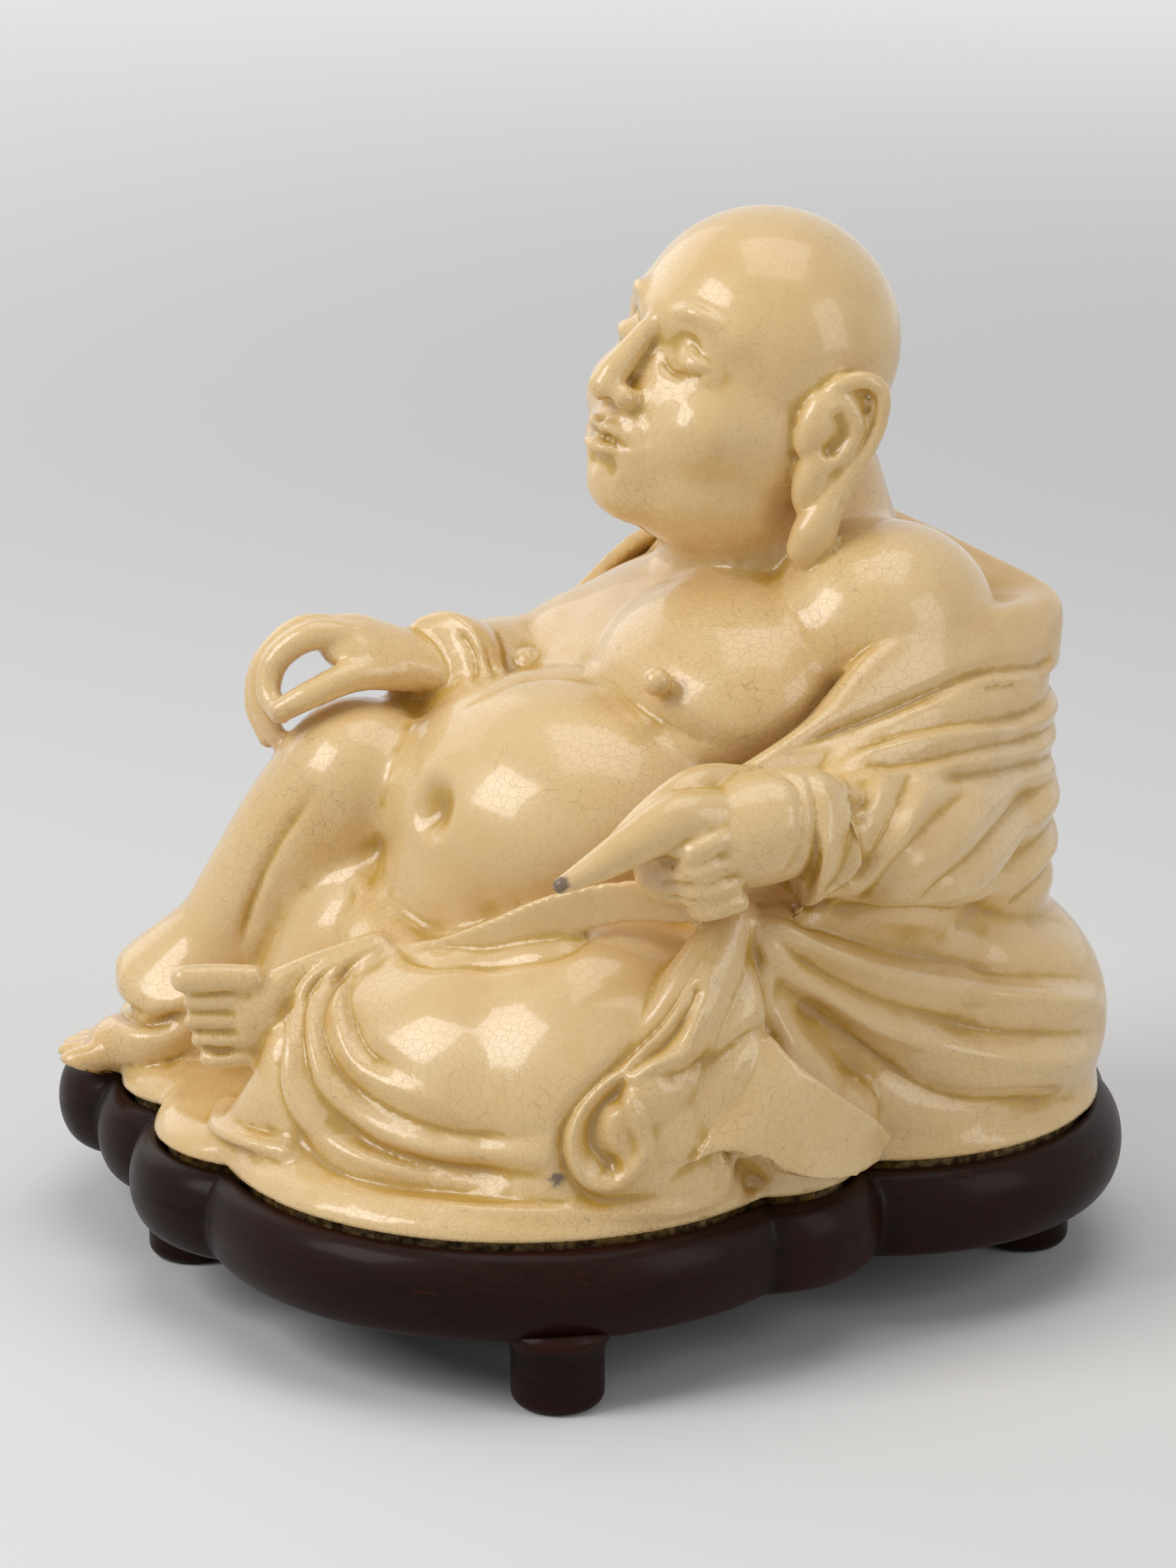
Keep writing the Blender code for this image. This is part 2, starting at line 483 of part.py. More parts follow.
def lathe(profile, centre, steps):
    """A turned solid from (radius, height) points, first and last on the axis."""
    turned = bmesh.new()
    verts = [turned.verts.new((centre[0] + r, centre[1], z)) for r, z in profile]
    edges = [turned.edges.new(pair) for pair in zip(verts, verts[1:])]
    bmesh.ops.spin(
        turned, geom=verts + edges, cent=(*centre, 0), axis=(0, 0,
                                                             1), angle=2 * math.pi, steps=steps, use_merge=True
    )
    bmesh.ops.remove_doubles(turned, verts=turned.verts, dist=0.001)
    bmesh.ops.recalc_face_normals(turned, faces=turned.faces)
    return turned


def reach(angle, offset):
    """How far the lobed outline lies from STAND_CENTRE on a ray, with every lobe grown by offset."""
    ray = Vector((math.cos(angle), math.sin(angle)))
    best = (0, "")
    for name, (x, y, r) in LOBES.items():
        centre = Vector((x - STAND_CENTRE[0], y - STAND_CENTRE[1]))
        along = centre.dot(ray)
        inside = (r + offset) ** 2 - centre.length_squared + along**2
        if inside > 0:
            best = max(best, (along + math.sqrt(inside), name))
    return best


def outline_angles():
    """Even steps round the outline, plus the crease between each two neighbouring lobes."""
    angles = [2 * math.pi * i / OUTLINE_STEPS for i in range(OUTLINE_STEPS)]
    fine = [2 * math.pi * i / 3600 for i in range(3600)]
    names = [reach(a, WALL_WIDTH / 2)[1] for a in fine]
    creases = [a for i, a in enumerate(fine) if names[i] != names[i - 1]]
    spacing = math.pi / OUTLINE_STEPS
    even = [a for a in angles if all(abs(a - c) > spacing for c in creases)]
    return sorted(even + creases)


def wall_profile():
    """(offset, height) of the half-round wall from the underside over the rim to the recess floor."""
    half = WALL_HEIGHT / 2
    points = []
    for step in range(WALL_STEPS + 1):
        a = math.pi * step / WALL_STEPS
        points.append((WALL_CROWN + (WALL_WIDTH - WALL_CROWN) * math.sin(a),
                       RIM_Z - half - half * math.cos(a)))
    return points + [(0, RIM_Z - 0.4), (0, FLOOR_Z)]


def foot_profile():
    """Short turned foot, rounded below and spreading into the tray above."""
    points = [(0, 0), (FOOT_RADIUS - FOOT_EDGE, 0)]
    for step in range(1, 5):
        a = math.pi / 2 * step / 4
        points.append((FOOT_RADIUS - FOOT_EDGE + FOOT_EDGE * math.sin(a),
                       FOOT_EDGE - FOOT_EDGE * math.cos(a)))
    points += [(FOOT_RADIUS, FOOT_HEIGHT - 4), (FOOT_RADIUS + 1.2, FOOT_HEIGHT - 1),
               (FOOT_RADIUS + 1.5, FOOT_HEIGHT + 3)]
    return points + [(0, FOOT_HEIGHT + 3)]


def combined(obj, others, operation):
    for other in others:
        boolean = obj.modifiers.new(other.name, "BOOLEAN")
        boolean.operation = operation
        boolean.object = other
        boolean.solver = "EXACT"
    applied(obj)
    for other in others:
        bpy.data.objects.remove(other)


def build_stand(collection):
    tray = bmesh.new()
    angles = outline_angles()
    rings = []
    for offset, z in wall_profile():
        reaches = [reach(a, offset)[0] for a in angles]
        points = [(STAND_CENTRE[0] + d * math.cos(a), STAND_CENTRE[1] + d * math.sin(a), z)
                  for a, d in zip(angles, reaches)]
        rings.append([tray.verts.new(p) for p in points])
    skinned(tray, rings)
    tray.faces.new(rings[0])
    tray.faces.new(rings[-1])
    bmesh.ops.recalc_face_normals(tray, faces=tray.faces[:])
    stand = mesh_object("stand", tray, collection)
    feet = [mesh_object(name, lathe(foot_profile(), centre, 24), collection) for name, centre in FEET.items()]
    combined(stand, feet, "UNION")
    return stand


def mesh_object(name, bm, collection):
    mesh = bpy.data.meshes.new(name)
    bm.to_mesh(mesh)
    bm.free()
    obj = bpy.data.objects.new(name, mesh)
    collection.objects.link(obj)
    return obj


def applied(obj):
    """Replaces an object's mesh by its evaluated one."""
    graph = bpy.context.evaluated_depsgraph_get()
    mesh = bpy.data.meshes.new_from_object(obj.evaluated_get(graph))
    obj.modifiers.clear()
    obj.data = mesh
    return obj


def fused(obj, voxel, passes):
    remesh = obj.modifiers.new("fuse", "REMESH")
    remesh.mode = "VOXEL"
    remesh.voxel_size = voxel
    soften = obj.modifiers.new("soften", "SMOOTH")
    soften.factor = 0.5
    soften.iterations = passes
    return applied(obj)


def coordinates(mesh):
    flat = np.empty(len(mesh.vertices) * 3)
    mesh.vertices.foreach_get("co", flat)
    return flat.reshape(-1, 3)


def carved(figure, strokes):
    """Works lines into the surface: grooves and hollows go in, welts come out. Each line lies on the surface."""
    tree = BVHTree.FromObject(figure, bpy.context.evaluated_depsgraph_get())
    mesh = figure.data
    co = coordinates(mesh)
    normals = np.empty(len(mesh.vertices) * 3)
    mesh.vertex_normals.foreach_get("vector", normals)
    normals = normals.reshape(-1, 3)
    down, up = np.zeros(len(co)), np.zeros(len(co))
    for kind, width, depth, points in strokes:
        laid = [tree.find_nearest(p) for p in spline(points, 6)]
        line = np.array([q[0] for q in laid])
        facing = np.array([q[1] for q in laid])
        inside = np.all((co > line.min(0) - width) & (co < line.max(0) + width), axis=1)
        near = np.where(inside)[0]
        start, span = line[:-1], np.diff(line, axis=0)
        square = np.maximum((span**2).sum(1), 1e-6)
        gap = co[near, None] - start[None]
        part = np.clip((gap * span).sum(2) / square, 0, 1)
        distance = np.linalg.norm(gap - part[..., None] * span, axis=2)
        nearest = distance.argmin(axis=1)
        rows = np.arange(len(near))
        x = np.minimum(distance[rows, nearest] / width, 1)
        place = (nearest + part[rows, nearest]) / len(span)
        taper = np.clip(np.minimum(place, 1 - place) * TAPER + END_DEPTH, 0, 1)
        if kind == "hollow":
            taper = np.ones(len(near))
        taper *= (normals[near] * facing[nearest]).sum(1) > 0.1
        if kind == "groove":
            down[near] = np.maximum(down[near], depth * taper * (1 - x) ** 2)
        elif kind == "hollow":
            down[near] = np.maximum(down[near], depth * taper * (1 - x**2) ** 2)
        else:
            up[near] = np.maximum(up[near], depth * taper * (1 - x**2) ** 2)
    co += normals * (up - down)[:, None]
    mesh.vertices.foreach_set("co", co.ravel())
    mesh.update()


def tucked(figure):
    """Draws the figure's foot in to stand inside the recess; above the rim it hangs over on a slope."""
    mesh = figure.data
    co = coordinates(mesh)
    lobes = np.array(list(LOBES.values()), float)
    away = co[:, None, :2] - lobes[None, :, :2]
    distance = np.hypot(away[..., 0], away[..., 1])
    room = lobes[None, :, 2] - SIDE_GAP - distance
    best = room.argmax(axis=1)
    rows = np.arange(len(co))
    allowed = np.maximum(0, co[:, 2] - LAID_RIM - OVERHANG_START) * OVERHANG_SLOPE
    ranked = np.sort(room, axis=1)
    crease = np.clip(1 - (ranked[:, -1] - ranked[:, -2]) / CREASE_WIDTH, 0, 1) * CREASE_GAP
    crease *= np.clip((LAID_RIM + OVERHANG_START - co[:, 2]) / OVERHANG_START, 0, 1)
    excess = np.maximum(0, crease - room[rows, best] - allowed)
    co[:, :2] -= away[rows, best] / np.maximum(distance[rows, best], 1)[:, None] * excess[:, None]
    mesh.vertices.foreach_set("co", co.ravel())
    mesh.update()


def head_lines():
    """Lines of the face, mirrored and set in the head's place."""
    place = head_matrix()
    lines = list(MIDDLE_LINES)
    for kind, width, depth, points in FACE_LINES:
        for s in (-1, 1):
            lines.append((kind, width, depth, [(s * x, y, z) for x, y, z in points]))
    return [(kind, width, depth, [tuple(place @ Vector(p)) for p in points]) for kind, width, depth,
            points in lines]


def build_figure(collection):
    clay = bmesh.new()
    for form in (torso, head_masses, right_leg, left_leg, sack, left_robe, right_sleeve, base):
        form(clay)
    figure = fused(mesh_object("figure", clay, collection), BROAD_VOXEL, 10)
    clay = bmesh.new()
    details = (face, nipples, right_hand, left_hand, held_cloth, collar, waist, left_foot, right_foot, hems,
               curl)
    for form in details:
        form(clay)
    bmesh.ops.recalc_face_normals(clay, faces=clay.faces[:])
    clay.from_mesh(figure.data)
    clay.to_mesh(figure.data)
    clay.free()
    fused(figure, FINE_VOXEL, 2)
    carved(figure, SACK_FOLDS + ROBE_FOLDS + LEG_FOLDS + PANEL_FOLDS + BODY_LINES + head_lines())
    settle = figure.modifiers.new("settle", "SMOOTH")
    settle.factor = 0.5
    settle.iterations = 2
    applied(figure)
    tucked(figure)
    thin = figure.modifiers.new("thin", "DECIMATE")
    thin.ratio = FIGURE_TRIANGLES / (2 * len(figure.data.polygons))
    applied(figure)
    tucked(figure)
    cut_flat(figure)
    figure.data.transform(Matrix.Translation((0, 0, FLOOR_Z - LAID_FLOOR)))
    return figure


def pieces_of(body):
    """Lists of connected vertices, the largest first."""
    left, pieces = set(body.verts), []
    while left:
        queue = [left.pop()]
        piece = []
        while queue:
            vert = queue.pop()
            piece.append(vert)
            for edge in vert.link_edges:
                other = edge.other_vert(vert)
                if other in left:
                    left.remove(other)
                    queue.append(other)
        pieces.append(piece)
    return sorted(pieces, key=len, reverse=True)


def cut_flat(figure):
    """Trims the underside to the flat base and closes it."""
    body = bmesh.new()
    body.from_mesh(figure.data)
    geometry = body.verts[:] + body.edges[:] + body.faces[:]
    bmesh.ops.bisect_plane(body, geom=geometry, plane_co=(0, 0, BASE_Z), plane_no=(0, 0, -1),
                           clear_outer=True)
    rims = [edge for edge in body.edges if edge.is_boundary]
    bmesh.ops.holes_fill(body, edges=rims)
    crumbs = [vert for piece in pieces_of(body)[1:] for vert in piece]
    bmesh.ops.delete(body, geom=crumbs, context="VERTS")
    bmesh.ops.dissolve_degenerate(body, dist=0.02, edges=body.edges[:])
    bmesh.ops.triangulate(body, faces=body.faces[:])
    bmesh.ops.recalc_face_normals(body, faces=body.faces[:])
    body.to_mesh(figure.data)
    body.free()


def coated(obj, name, colour, roughness):
    material = bpy.data.materials.new(name)
    material.use_nodes = True
    surface = material.node_tree.nodes["Principled BSDF"]
    surface.inputs["Base Color"].default_value = (*colour, 1)
    surface.inputs["Roughness"].default_value = roughness
    surface.inputs["Metallic"].default_value = 0.0
    obj.data.materials.clear()
    obj.data.materials.append(material)


def settled(objects):
    """To metres, with the origin under the middle of the bounding box."""
    corners = np.vstack([coordinates(obj.data) for obj in objects])
    low, high = corners.min(0), corners.max(0)
    middle = (low + high) / 2
    shift = Matrix.Translation((-middle[0], -middle[1], -low[2]))
    for obj in objects:
        obj.data.transform(Matrix.Scale(MM, 4) @ shift)
        obj.data.update()


def main():
    for obj in list(bpy.data.objects):
        bpy.data.objects.remove(obj)
    collection = bpy.data.collections.new("budai_figure_on_stand")
    bpy.context.scene.collection.children.link(collection)
    stand = build_stand(collection)
    figure = build_figure(collection)
    coated(figure, "glazed porcelain", GLAZE_COLOUR, GLAZE_ROUGHNESS)
    coated(stand, "dark hardwood", WOOD_COLOUR, WOOD_ROUGHNESS)
    settled([figure, stand])


main()
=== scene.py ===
# Looks for the seated figure: crackled cream porcelain on a lobed hardwood stand.
# Shapes are laid out in millimetres round the belly's own axis, with +X the figure's left and -Y its
# front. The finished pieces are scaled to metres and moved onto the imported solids.
import math

import bmesh
import bpy
import numpy as np
from mathutils import Euler, Matrix, Vector
from mathutils.bvhtree import BVHTree


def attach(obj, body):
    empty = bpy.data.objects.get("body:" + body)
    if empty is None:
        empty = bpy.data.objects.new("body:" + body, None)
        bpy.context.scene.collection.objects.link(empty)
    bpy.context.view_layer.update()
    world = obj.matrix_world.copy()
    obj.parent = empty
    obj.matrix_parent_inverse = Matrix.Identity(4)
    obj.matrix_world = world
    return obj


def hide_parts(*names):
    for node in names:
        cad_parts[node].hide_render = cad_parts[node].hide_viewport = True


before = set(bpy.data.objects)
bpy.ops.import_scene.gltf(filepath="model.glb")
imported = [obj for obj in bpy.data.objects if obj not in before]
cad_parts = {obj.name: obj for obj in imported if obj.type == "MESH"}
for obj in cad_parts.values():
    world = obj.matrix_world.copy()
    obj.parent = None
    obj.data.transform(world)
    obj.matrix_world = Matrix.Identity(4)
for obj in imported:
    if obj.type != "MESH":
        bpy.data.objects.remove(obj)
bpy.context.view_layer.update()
print("frame loaded:", sorted(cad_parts))

layout = {"middle": (-14.0, 6.75, 0.0), "scale": 0.001}


def spline(points, perSpan=8):
    # Catmull-Rom through the points, on any number of columns
    p = np.array(points, float)
    if len(p) == 2:
        t = np.linspace(0, 1, perSpan * 2)[:, None]
        return p[0] * (1 - t) + p[1] * t
    p = np.vstack([2 * p[0] - p[1], p, 2 * p[-1] - p[-2]])
    out = []
    for i in range(1, len(p) - 2):
        a, b, c, d = p[i - 1 : i + 3]
        for t in np.arange(perSpan) / perSpan:
            curve = 2 * b + (c - a) * t + (2 * a - 5 * b + 4 * c - d) * t**2 + (3 * b - a - 3 * c + d) * t**3
            out.append(0.5 * curve)
    out.append(p[-2])
    return np.array(out)


def placed(centre, turn=(0, 0, 0), size=(1, 1, 1)):
    rotation = Euler([math.radians(a) for a in turn]).to_matrix().to_4x4()
    return Matrix.Translation(centre) @ rotation @ Matrix.Diagonal((*size, 1))


def added(clay, piece):
    mesh = bpy.data.meshes.new("piece")
    piece.to_mesh(mesh)
    piece.free()
    clay.from_mesh(mesh)
    bpy.data.meshes.remove(mesh)


def ball(clay, centre, radii, turn=(0, 0, 0), detail=4):
    size = radii if isinstance(radii, tuple) else (radii, radii, radii)
    bmesh.ops.create_icosphere(clay, subdivisions=detail, radius=1, matrix=placed(centre, turn, size))


def bridged(body, rings):
    for a, b in zip(rings, rings[1:]):
        edges = [e for v in a for e in v.link_edges if e.other_vert(v) in a]
        edges += [e for v in b for e in v.link_edges if e.other_vert(v) in b]
        bmesh.ops.bridge_loops(body, edges=list(set(edges)))


def tube(clay, points, radii, flat=1.0, up=(0, 0, 1), sides=24):
    # A limb or roll: rings along a smooth path with round ends, one radius per point
    path = spline([(*p, r) for p, r in zip(points, radii)])
    line = [Vector(q[:3]) for q in path]
    size = [float(q[3]) for q in path]
    last = len(line) - 1
    along = [(line[min(i + 1, last)] - line[max(i - 1, 0)]).normalized() for i in range(last + 1)]
    stations = []
    for angle in (80, 60, 40, 20):
        a = math.radians(angle)
        stations.append((line[0] - along[0] * size[0] * math.sin(a), along[0], size[0] * math.cos(a)))
    stations += list(zip(line, along, size))
    for angle in (20, 40, 60, 80):
        a = math.radians(angle)
        stations.append((line[-1] + along[-1] * size[-1] * math.sin(a), along[-1], size[-1] * math.cos(a)))
    limb = bmesh.new()
    rings = []
    for i, (centre, ahead, radius) in enumerate(stations):
        side = ahead.cross(Vector(up)).normalized()
        over = side.cross(ahead).normalized()
        turn = Matrix((side, over, ahead)).transposed().to_4x4()
        matrix = Matrix.Translation(centre) @ turn @ Matrix.Diagonal((radius, radius * flat, 1, 1))
        caps = i in (0, len(stations) - 1)
        ring = bmesh.ops.create_circle(limb, cap_ends=caps, segments=sides, radius=1, matrix=matrix)["verts"]
        rings.append(set(ring))
    bridged(limb, rings)
    added(clay, limb)


def sheet(clay, rows, thickness):
    # A panel of cloth: a grid laid through rows of points, then given its thickness
    across = [spline(r) for r in rows]
    grid = spline(np.array([a.ravel() for a in across])).reshape(-1, len(across[0]), 3)
    tall, wide = len(grid), len(grid[0])
    cloth = bmesh.new()
    verts = bmesh.ops.create_grid(cloth, x_segments=wide - 1, y_segments=tall - 1, size=1)["verts"]
    for vert in verts:
        i = round((vert.co.y + 1) / 2 * (tall - 1))
        j = round((vert.co.x + 1) / 2 * (wide - 1))
        vert.co = grid[i][j]
    cloth.normal_update()
    bmesh.ops.solidify(cloth, geom=cloth.faces[:], thickness=thickness)
    added(clay, cloth)


def meshObject(name, body):
    mesh = bpy.data.meshes.new(name)
    body.to_mesh(mesh)
    body.free()
    obj = bpy.data.objects.new(name, mesh)
    bpy.context.scene.collection.objects.link(obj)
    return obj


def applied(obj):
    graph = bpy.context.evaluated_depsgraph_get()
    mesh = bpy.data.meshes.new_from_object(obj.evaluated_get(graph))
    obj.modifiers.clear()
    obj.data = mesh
    return obj


def softened(obj, passes):
    soften = obj.modifiers.new("soften", "SMOOTH")
    soften.factor = 0.5
    soften.iterations = passes
    return applied(obj)


def fused(obj, voxel, passes):
    remesh = obj.modifiers.new("fuse", "REMESH")
    remesh.mode = "VOXEL"
    remesh.voxel_size = voxel
    return softened(obj, passes)


def coordinates(mesh):
    flat = np.empty(len(mesh.vertices) * 3)
    mesh.vertices.foreach_get("co", flat)
    return flat.reshape(-1, 3)


def moved(mesh, co):
    mesh.vertices.foreach_set("co", co.ravel())
    mesh.update()


def settled(obj):
    x, y, z = layout["middle"]
    obj.data.transform(Matrix.Scale(layout["scale"], 4) @ Matrix.Translation((-x, -y, -z)))
    for polygon in obj.data.polygons:
        polygon.use_smooth = True
    obj.data.update()


def hollowness(mesh, passes):
    # How far each point lies below (positive) or above its smoothed neighbourhood, in the mesh's unit
    co = coordinates(mesh)
    edges = np.empty(len(mesh.edges) * 2, np.int64)
    mesh.edges.foreach_get("vertices", edges)
    a, b = edges[0::2], edges[1::2]
    count = np.bincount(a, minlength=len(co)) + np.bincount(b, minlength=len(co))
    smooth = co.copy()
    for _ in range(passes):
        total = np.zeros_like(smooth)
        for k in range(3):
            total[:, k] = np.bincount(a, smooth[b, k], len(co)) + np.bincount(b, smooth[a, k], len(co))
        smooth = 0.5 * smooth + 0.5 * total / np.maximum(count, 1)[:, None]
    normals = np.empty(len(co) * 3)
    mesh.vertex_normals.foreach_get("vector", normals)
    return ((smooth - co) * normals.reshape(-1, 3)).sum(1)


def painted(mesh, name, values):
    layer = mesh.attributes.new(name, "FLOAT", "POINT")
    layer.data.foreach_set("value", np.clip(values, 0, 1).astype(np.float32))


# The stand in millimetres: a tray with a bulging lobed wall on four stub feet
standShape = {
    "centre": (-10, 5),
    "footHeight": 16.0,
    "footRadius": 10.0,
    "footEdge": 3.0,
    "wallHeight": 20.0,
    "wallWidth": 6.9,
    "wallCrown": 1.2,
    "wallSteps": 22,
    "outlineSteps": 420,
    "creaseSearchSteps": 7200,
    "recessDepth": 9.0,
    "feet": [(57, -66), (-62, -64), (66, 74), (-58, 62)],
    "lobes": [  # centre x, centre y and the radius of the rim's inner edge
        (8, -30, 64.5), (57, -5, 21), (40, 50, 50), (36, 74, 34), (-12, 66, 38), (-52, 42, 36),
        (-78, 8, 31), (-96, -26, 22), (-94, -50, 13), (-66, -53, 20), (-33, -62, 27.5), (-58, -22, 26),
    ],
}
rimHeight = standShape["footHeight"] + standShape["wallHeight"]
floorHeight = rimHeight - standShape["recessDepth"]


def reach(angle, offset):
    # How far the lobed outline lies from the stand's centre on a ray, and which lobe makes it
    ray = Vector((math.cos(angle), math.sin(angle)))
    best = (0, 0)
    for i, (x, y, r) in enumerate(standShape["lobes"]):
        centre = Vector((x - standShape["centre"][0], y - standShape["centre"][1]))
        along = centre.dot(ray)
        inside = (r + offset) ** 2 - centre.length_squared + along**2
        if inside > 0:
            best = max(best, (along + math.sqrt(inside), i))
    return best


def outlineAngles():
    # Even angles round the outline, with one right at each crease between two lobes
    steps, fineSteps = standShape["outlineSteps"], standShape["creaseSearchSteps"]
    fine = [2 * math.pi * i / fineSteps for i in range(fineSteps)]
    names = [reach(a, standShape["wallWidth"] / 2)[1] for a in fine]
    creases = [a for i, a in enumerate(fine) if names[i] != names[i - 1]]
    even = [2 * math.pi * i / steps for i in range(steps)]
    even = [a for a in even if all(abs(a - c) > math.pi / steps for c in creases)]
    return sorted(even + creases)


def standProfile():
    # (offset, height) from the underside's middle, round the wall and over the rim to the recess floor
    s = standShape
    half = s["wallHeight"] / 2
    points = [(-22, s["footHeight"]), (-8, s["footHeight"])]
    for step in range(s["wallSteps"] + 1):
        a = math.pi * step / s["wallSteps"]
        wide = s["wallCrown"] + (s["wallWidth"] - s["wallCrown"]) * math.sin(a)
        points.append((wide, rimHeight - half - half * math.cos(a)))
    points += [(0.4, rimHeight - 0.1), (0, rimHeight - 0.6)]
    return points + [(0, floorHeight + 0.6), (-0.5, floorHeight)]


def footProfile():
    s = standShape
    edge, radius, height = s["footEdge"], s["footRadius"], s["footHeight"]
    points = [(0.01, 0), (radius - edge, 0)]
    for step in range(1, 9):
        a = math.pi / 2 * step / 8
        points.append((radius - edge + edge * math.sin(a), edge - edge * math.cos(a)))
    points += [(radius, height - 4), (radius + 0.5, height - 2)]
    return points + [(radius + 1.4, height - 0.5), (radius + 2, height + 2)]


def buildStand():
    angles = outlineAngles()
    cx, cy = standShape["centre"]
    tray = bmesh.new()
    rings = []
    profile = standProfile()
    for k, (offset, z) in enumerate(profile):
        caps = k in (0, len(profile) - 1)
        ring = bmesh.ops.create_circle(tray, cap_ends=caps, segments=len(angles), radius=1)["verts"]
        for vert, angle in zip(ring, angles):
            d = reach(angle, offset)[0]
            vert.co = (cx + d * math.cos(angle), cy + d * math.sin(angle), z)
        rings.append(set(ring))
    bridged(tray, rings)
    for x, y in standShape["feet"]:
        foot = bmesh.new()
        rings = []
        profile = footProfile()
        for k, (radius, z) in enumerate(profile):
            place = Matrix.Translation((x, y, z))
            caps = k in (0, len(profile) - 1)
            made = bmesh.ops.create_circle(foot, cap_ends=caps, segments=64, radius=radius, matrix=place)
            rings.append(set(made["verts"]))
        bridged(foot, rings)
        added(tray, foot)
    bmesh.ops.triangulate(tray, faces=[f for f in tray.faces if len(f.verts) > 4])
    bmesh.ops.recalc_face_normals(tray, faces=tray.faces[:])
    stand = meshObject("hardwood_stand", tray)
    settled(stand)
    return stand


# The figure's fit in the stand, its fineness in millimetres, and its belly and head
figureShape = {
    "seatGap": 0.3,
    "sideGap": 1.8,
    "creaseGap": 1.5,  # more room beside each crease between two lobes
    "creaseWidth": 6.0,
    "hemOverhang": 1.4,
    "overhangStart": 1.0,  # over the rim the figure hangs out on a slope that starts here
    "overhangSlope": 3.0,
    "broadVoxel": 1.8,
    "fineVoxel": 0.8,
    "triangles": 190000,
    "bellyCentre": (2, -9, 104),
    "bellyRadii": (44, 37, 33),
    "headCentre": (7.6, 40.6, 197.8),
    "headTurn": (-20, 5, -14),
    "linePasses": 6,
    "lineTaper": 4.0,
    "lineEndDepth": 0.25,
}
baseHeight = floorHeight + figureShape["seatGap"]


def torso(clay):
    ball(clay, (4, 30, 119), (49, 46, 33), (35, 0, 0))
    ball(clay, (24, 15, 137), (29, 26, 16), (32, 8, 0))
    ball(clay, (-20, 20, 129), (26, 24, 15), (32, -12, 0))
    ball(clay, (43, 48, 145), (25, 27, 24))
    ball(clay, (-30, 60, 122), (21, 23, 21))
    ball(clay, (8, 58, 132), (44, 30, 32), (0, 12, 0))
    tube(clay, [(8, 54, 148), (9, 48, 176)], [29, 24])
    ball(clay, figureShape["bellyCentre"], figureShape["bellyRadii"])
    ball(clay, (-3, -24, 93), (28, 23, 25))
    ball(clay, (0, 20, 70), (60, 62, 42))
    ball(clay, (0, 60, 84), (56, 34, 62))


def rightLeg(clay):
    tube(clay, [(-20, 10, 80), (-35, -14, 97), (-43, -28, 108)], [26, 22, 18])
    tube(clay, [(-43, -29, 108), (-54, -36, 91), (-62, -41.5, 79), (-68, -46, 68)], [19, 17.7, 15, 13.5])
    skirt = placed((-71.8, -48.2, 62.8), (-19.7, 32.5, 0))
    bmesh.ops.create_cone(clay, cap_ends=True, segments=64, radius1=18.5, radius2=12, depth=27, matrix=skirt)
    tube(clay, [(-30, -16, 84), (-35, -32, 74), (-40, -40, 60)], [22, 21, 18])
    tube(clay, [(-38, -20, 104), (-40, -25, 88), (-38, -30, 70)], [17, 18, 18])
    ball(clay, (-46, -10, 62), (34, 36, 34))
    lip = [(-88, -58, 63), (-84.5, -63, 58), (-76, -66, 57.7), (-68, -65, 58), (-61, -61, 60)]
    tube(clay, lip, [2.4, 3, 3.2, 3.2, 3])


def leftLeg(clay):
    ball(clay, (32, -30, 55), (45, 43, 42), (0, 0, -20))
    tube(clay, [(32, -37, 56), (13, -51, 56), (-3, -62, 56)], [35, 33, 26])
    ball(clay, (6, -54, 38), (34, 36, 26))
    tube(clay, [(-22, -38, 84), (-14, -50, 80), (2, -56, 78)], [9, 9, 9])
    tube(clay, [(56, -8, 92), (60, -14, 74), (62, -10, 54)], [12, 17, 20])
    tube(clay, [(-4, -68, 60), (-14, -78, 52), (-24, -82, 45)], [13, 10, 5])


def sack(clay):
    ball(clay, (44, 50, 55), (48, 53, 37))
    tube(clay, [(70, -14, 94), (67, 6, 82), (60, 26, 70)], [8, 17, 27])


def leftRobe(clay):
    ball(clay, (50, 56, 123), (27, 33, 24))
    tube(clay, [(52, 54, 119), (63, 36, 119), (68, 16, 117)], [28, 21, 16])
    tube(clay, [(48, 54, 88), (50, 57, 100), (49, 58, 112)], [31, 30, 29])
    tube(clay, [(54, 50, 106), (69, 26, 107), (76, 9, 112), (76.5, 5, 113)], [27, 22, 16.5, 14.5])


def rightSleeve(clay):
    tube(clay, [(-32, 58, 114), (-38, 34, 115), (-36, 12, 124), (-35, 2, 127)], [20, 18, 15, 13.5])
    cuff = placed((-35.3, -8, 129.6), (71.5, 0, 8.1))
    bmesh.ops.create_cone(clay, cap_ends=True, segments=48, radius1=13.5, radius2=14.5, depth=12, matrix=cuff)


def base(clay):
    # The hem spread over the stand's recess, following its lobes and hanging a little over the rim
    for x, y, r in standShape["lobes"]:
        edge = r + figureShape["hemOverhang"]
        for height, depth, top in ((4.5, 17, edge), (14.7, 3.4, edge - 5)):
            place = Matrix.Translation((x, y, baseHeight + height))
            bmesh.ops.create_cone(
                clay, cap_ends=True, segments=64, radius1=edge, radius2=top, depth=depth, matrix=place
            )


def headMatrix():
    return placed(figureShape["headCentre"], figureShape["headTurn"])


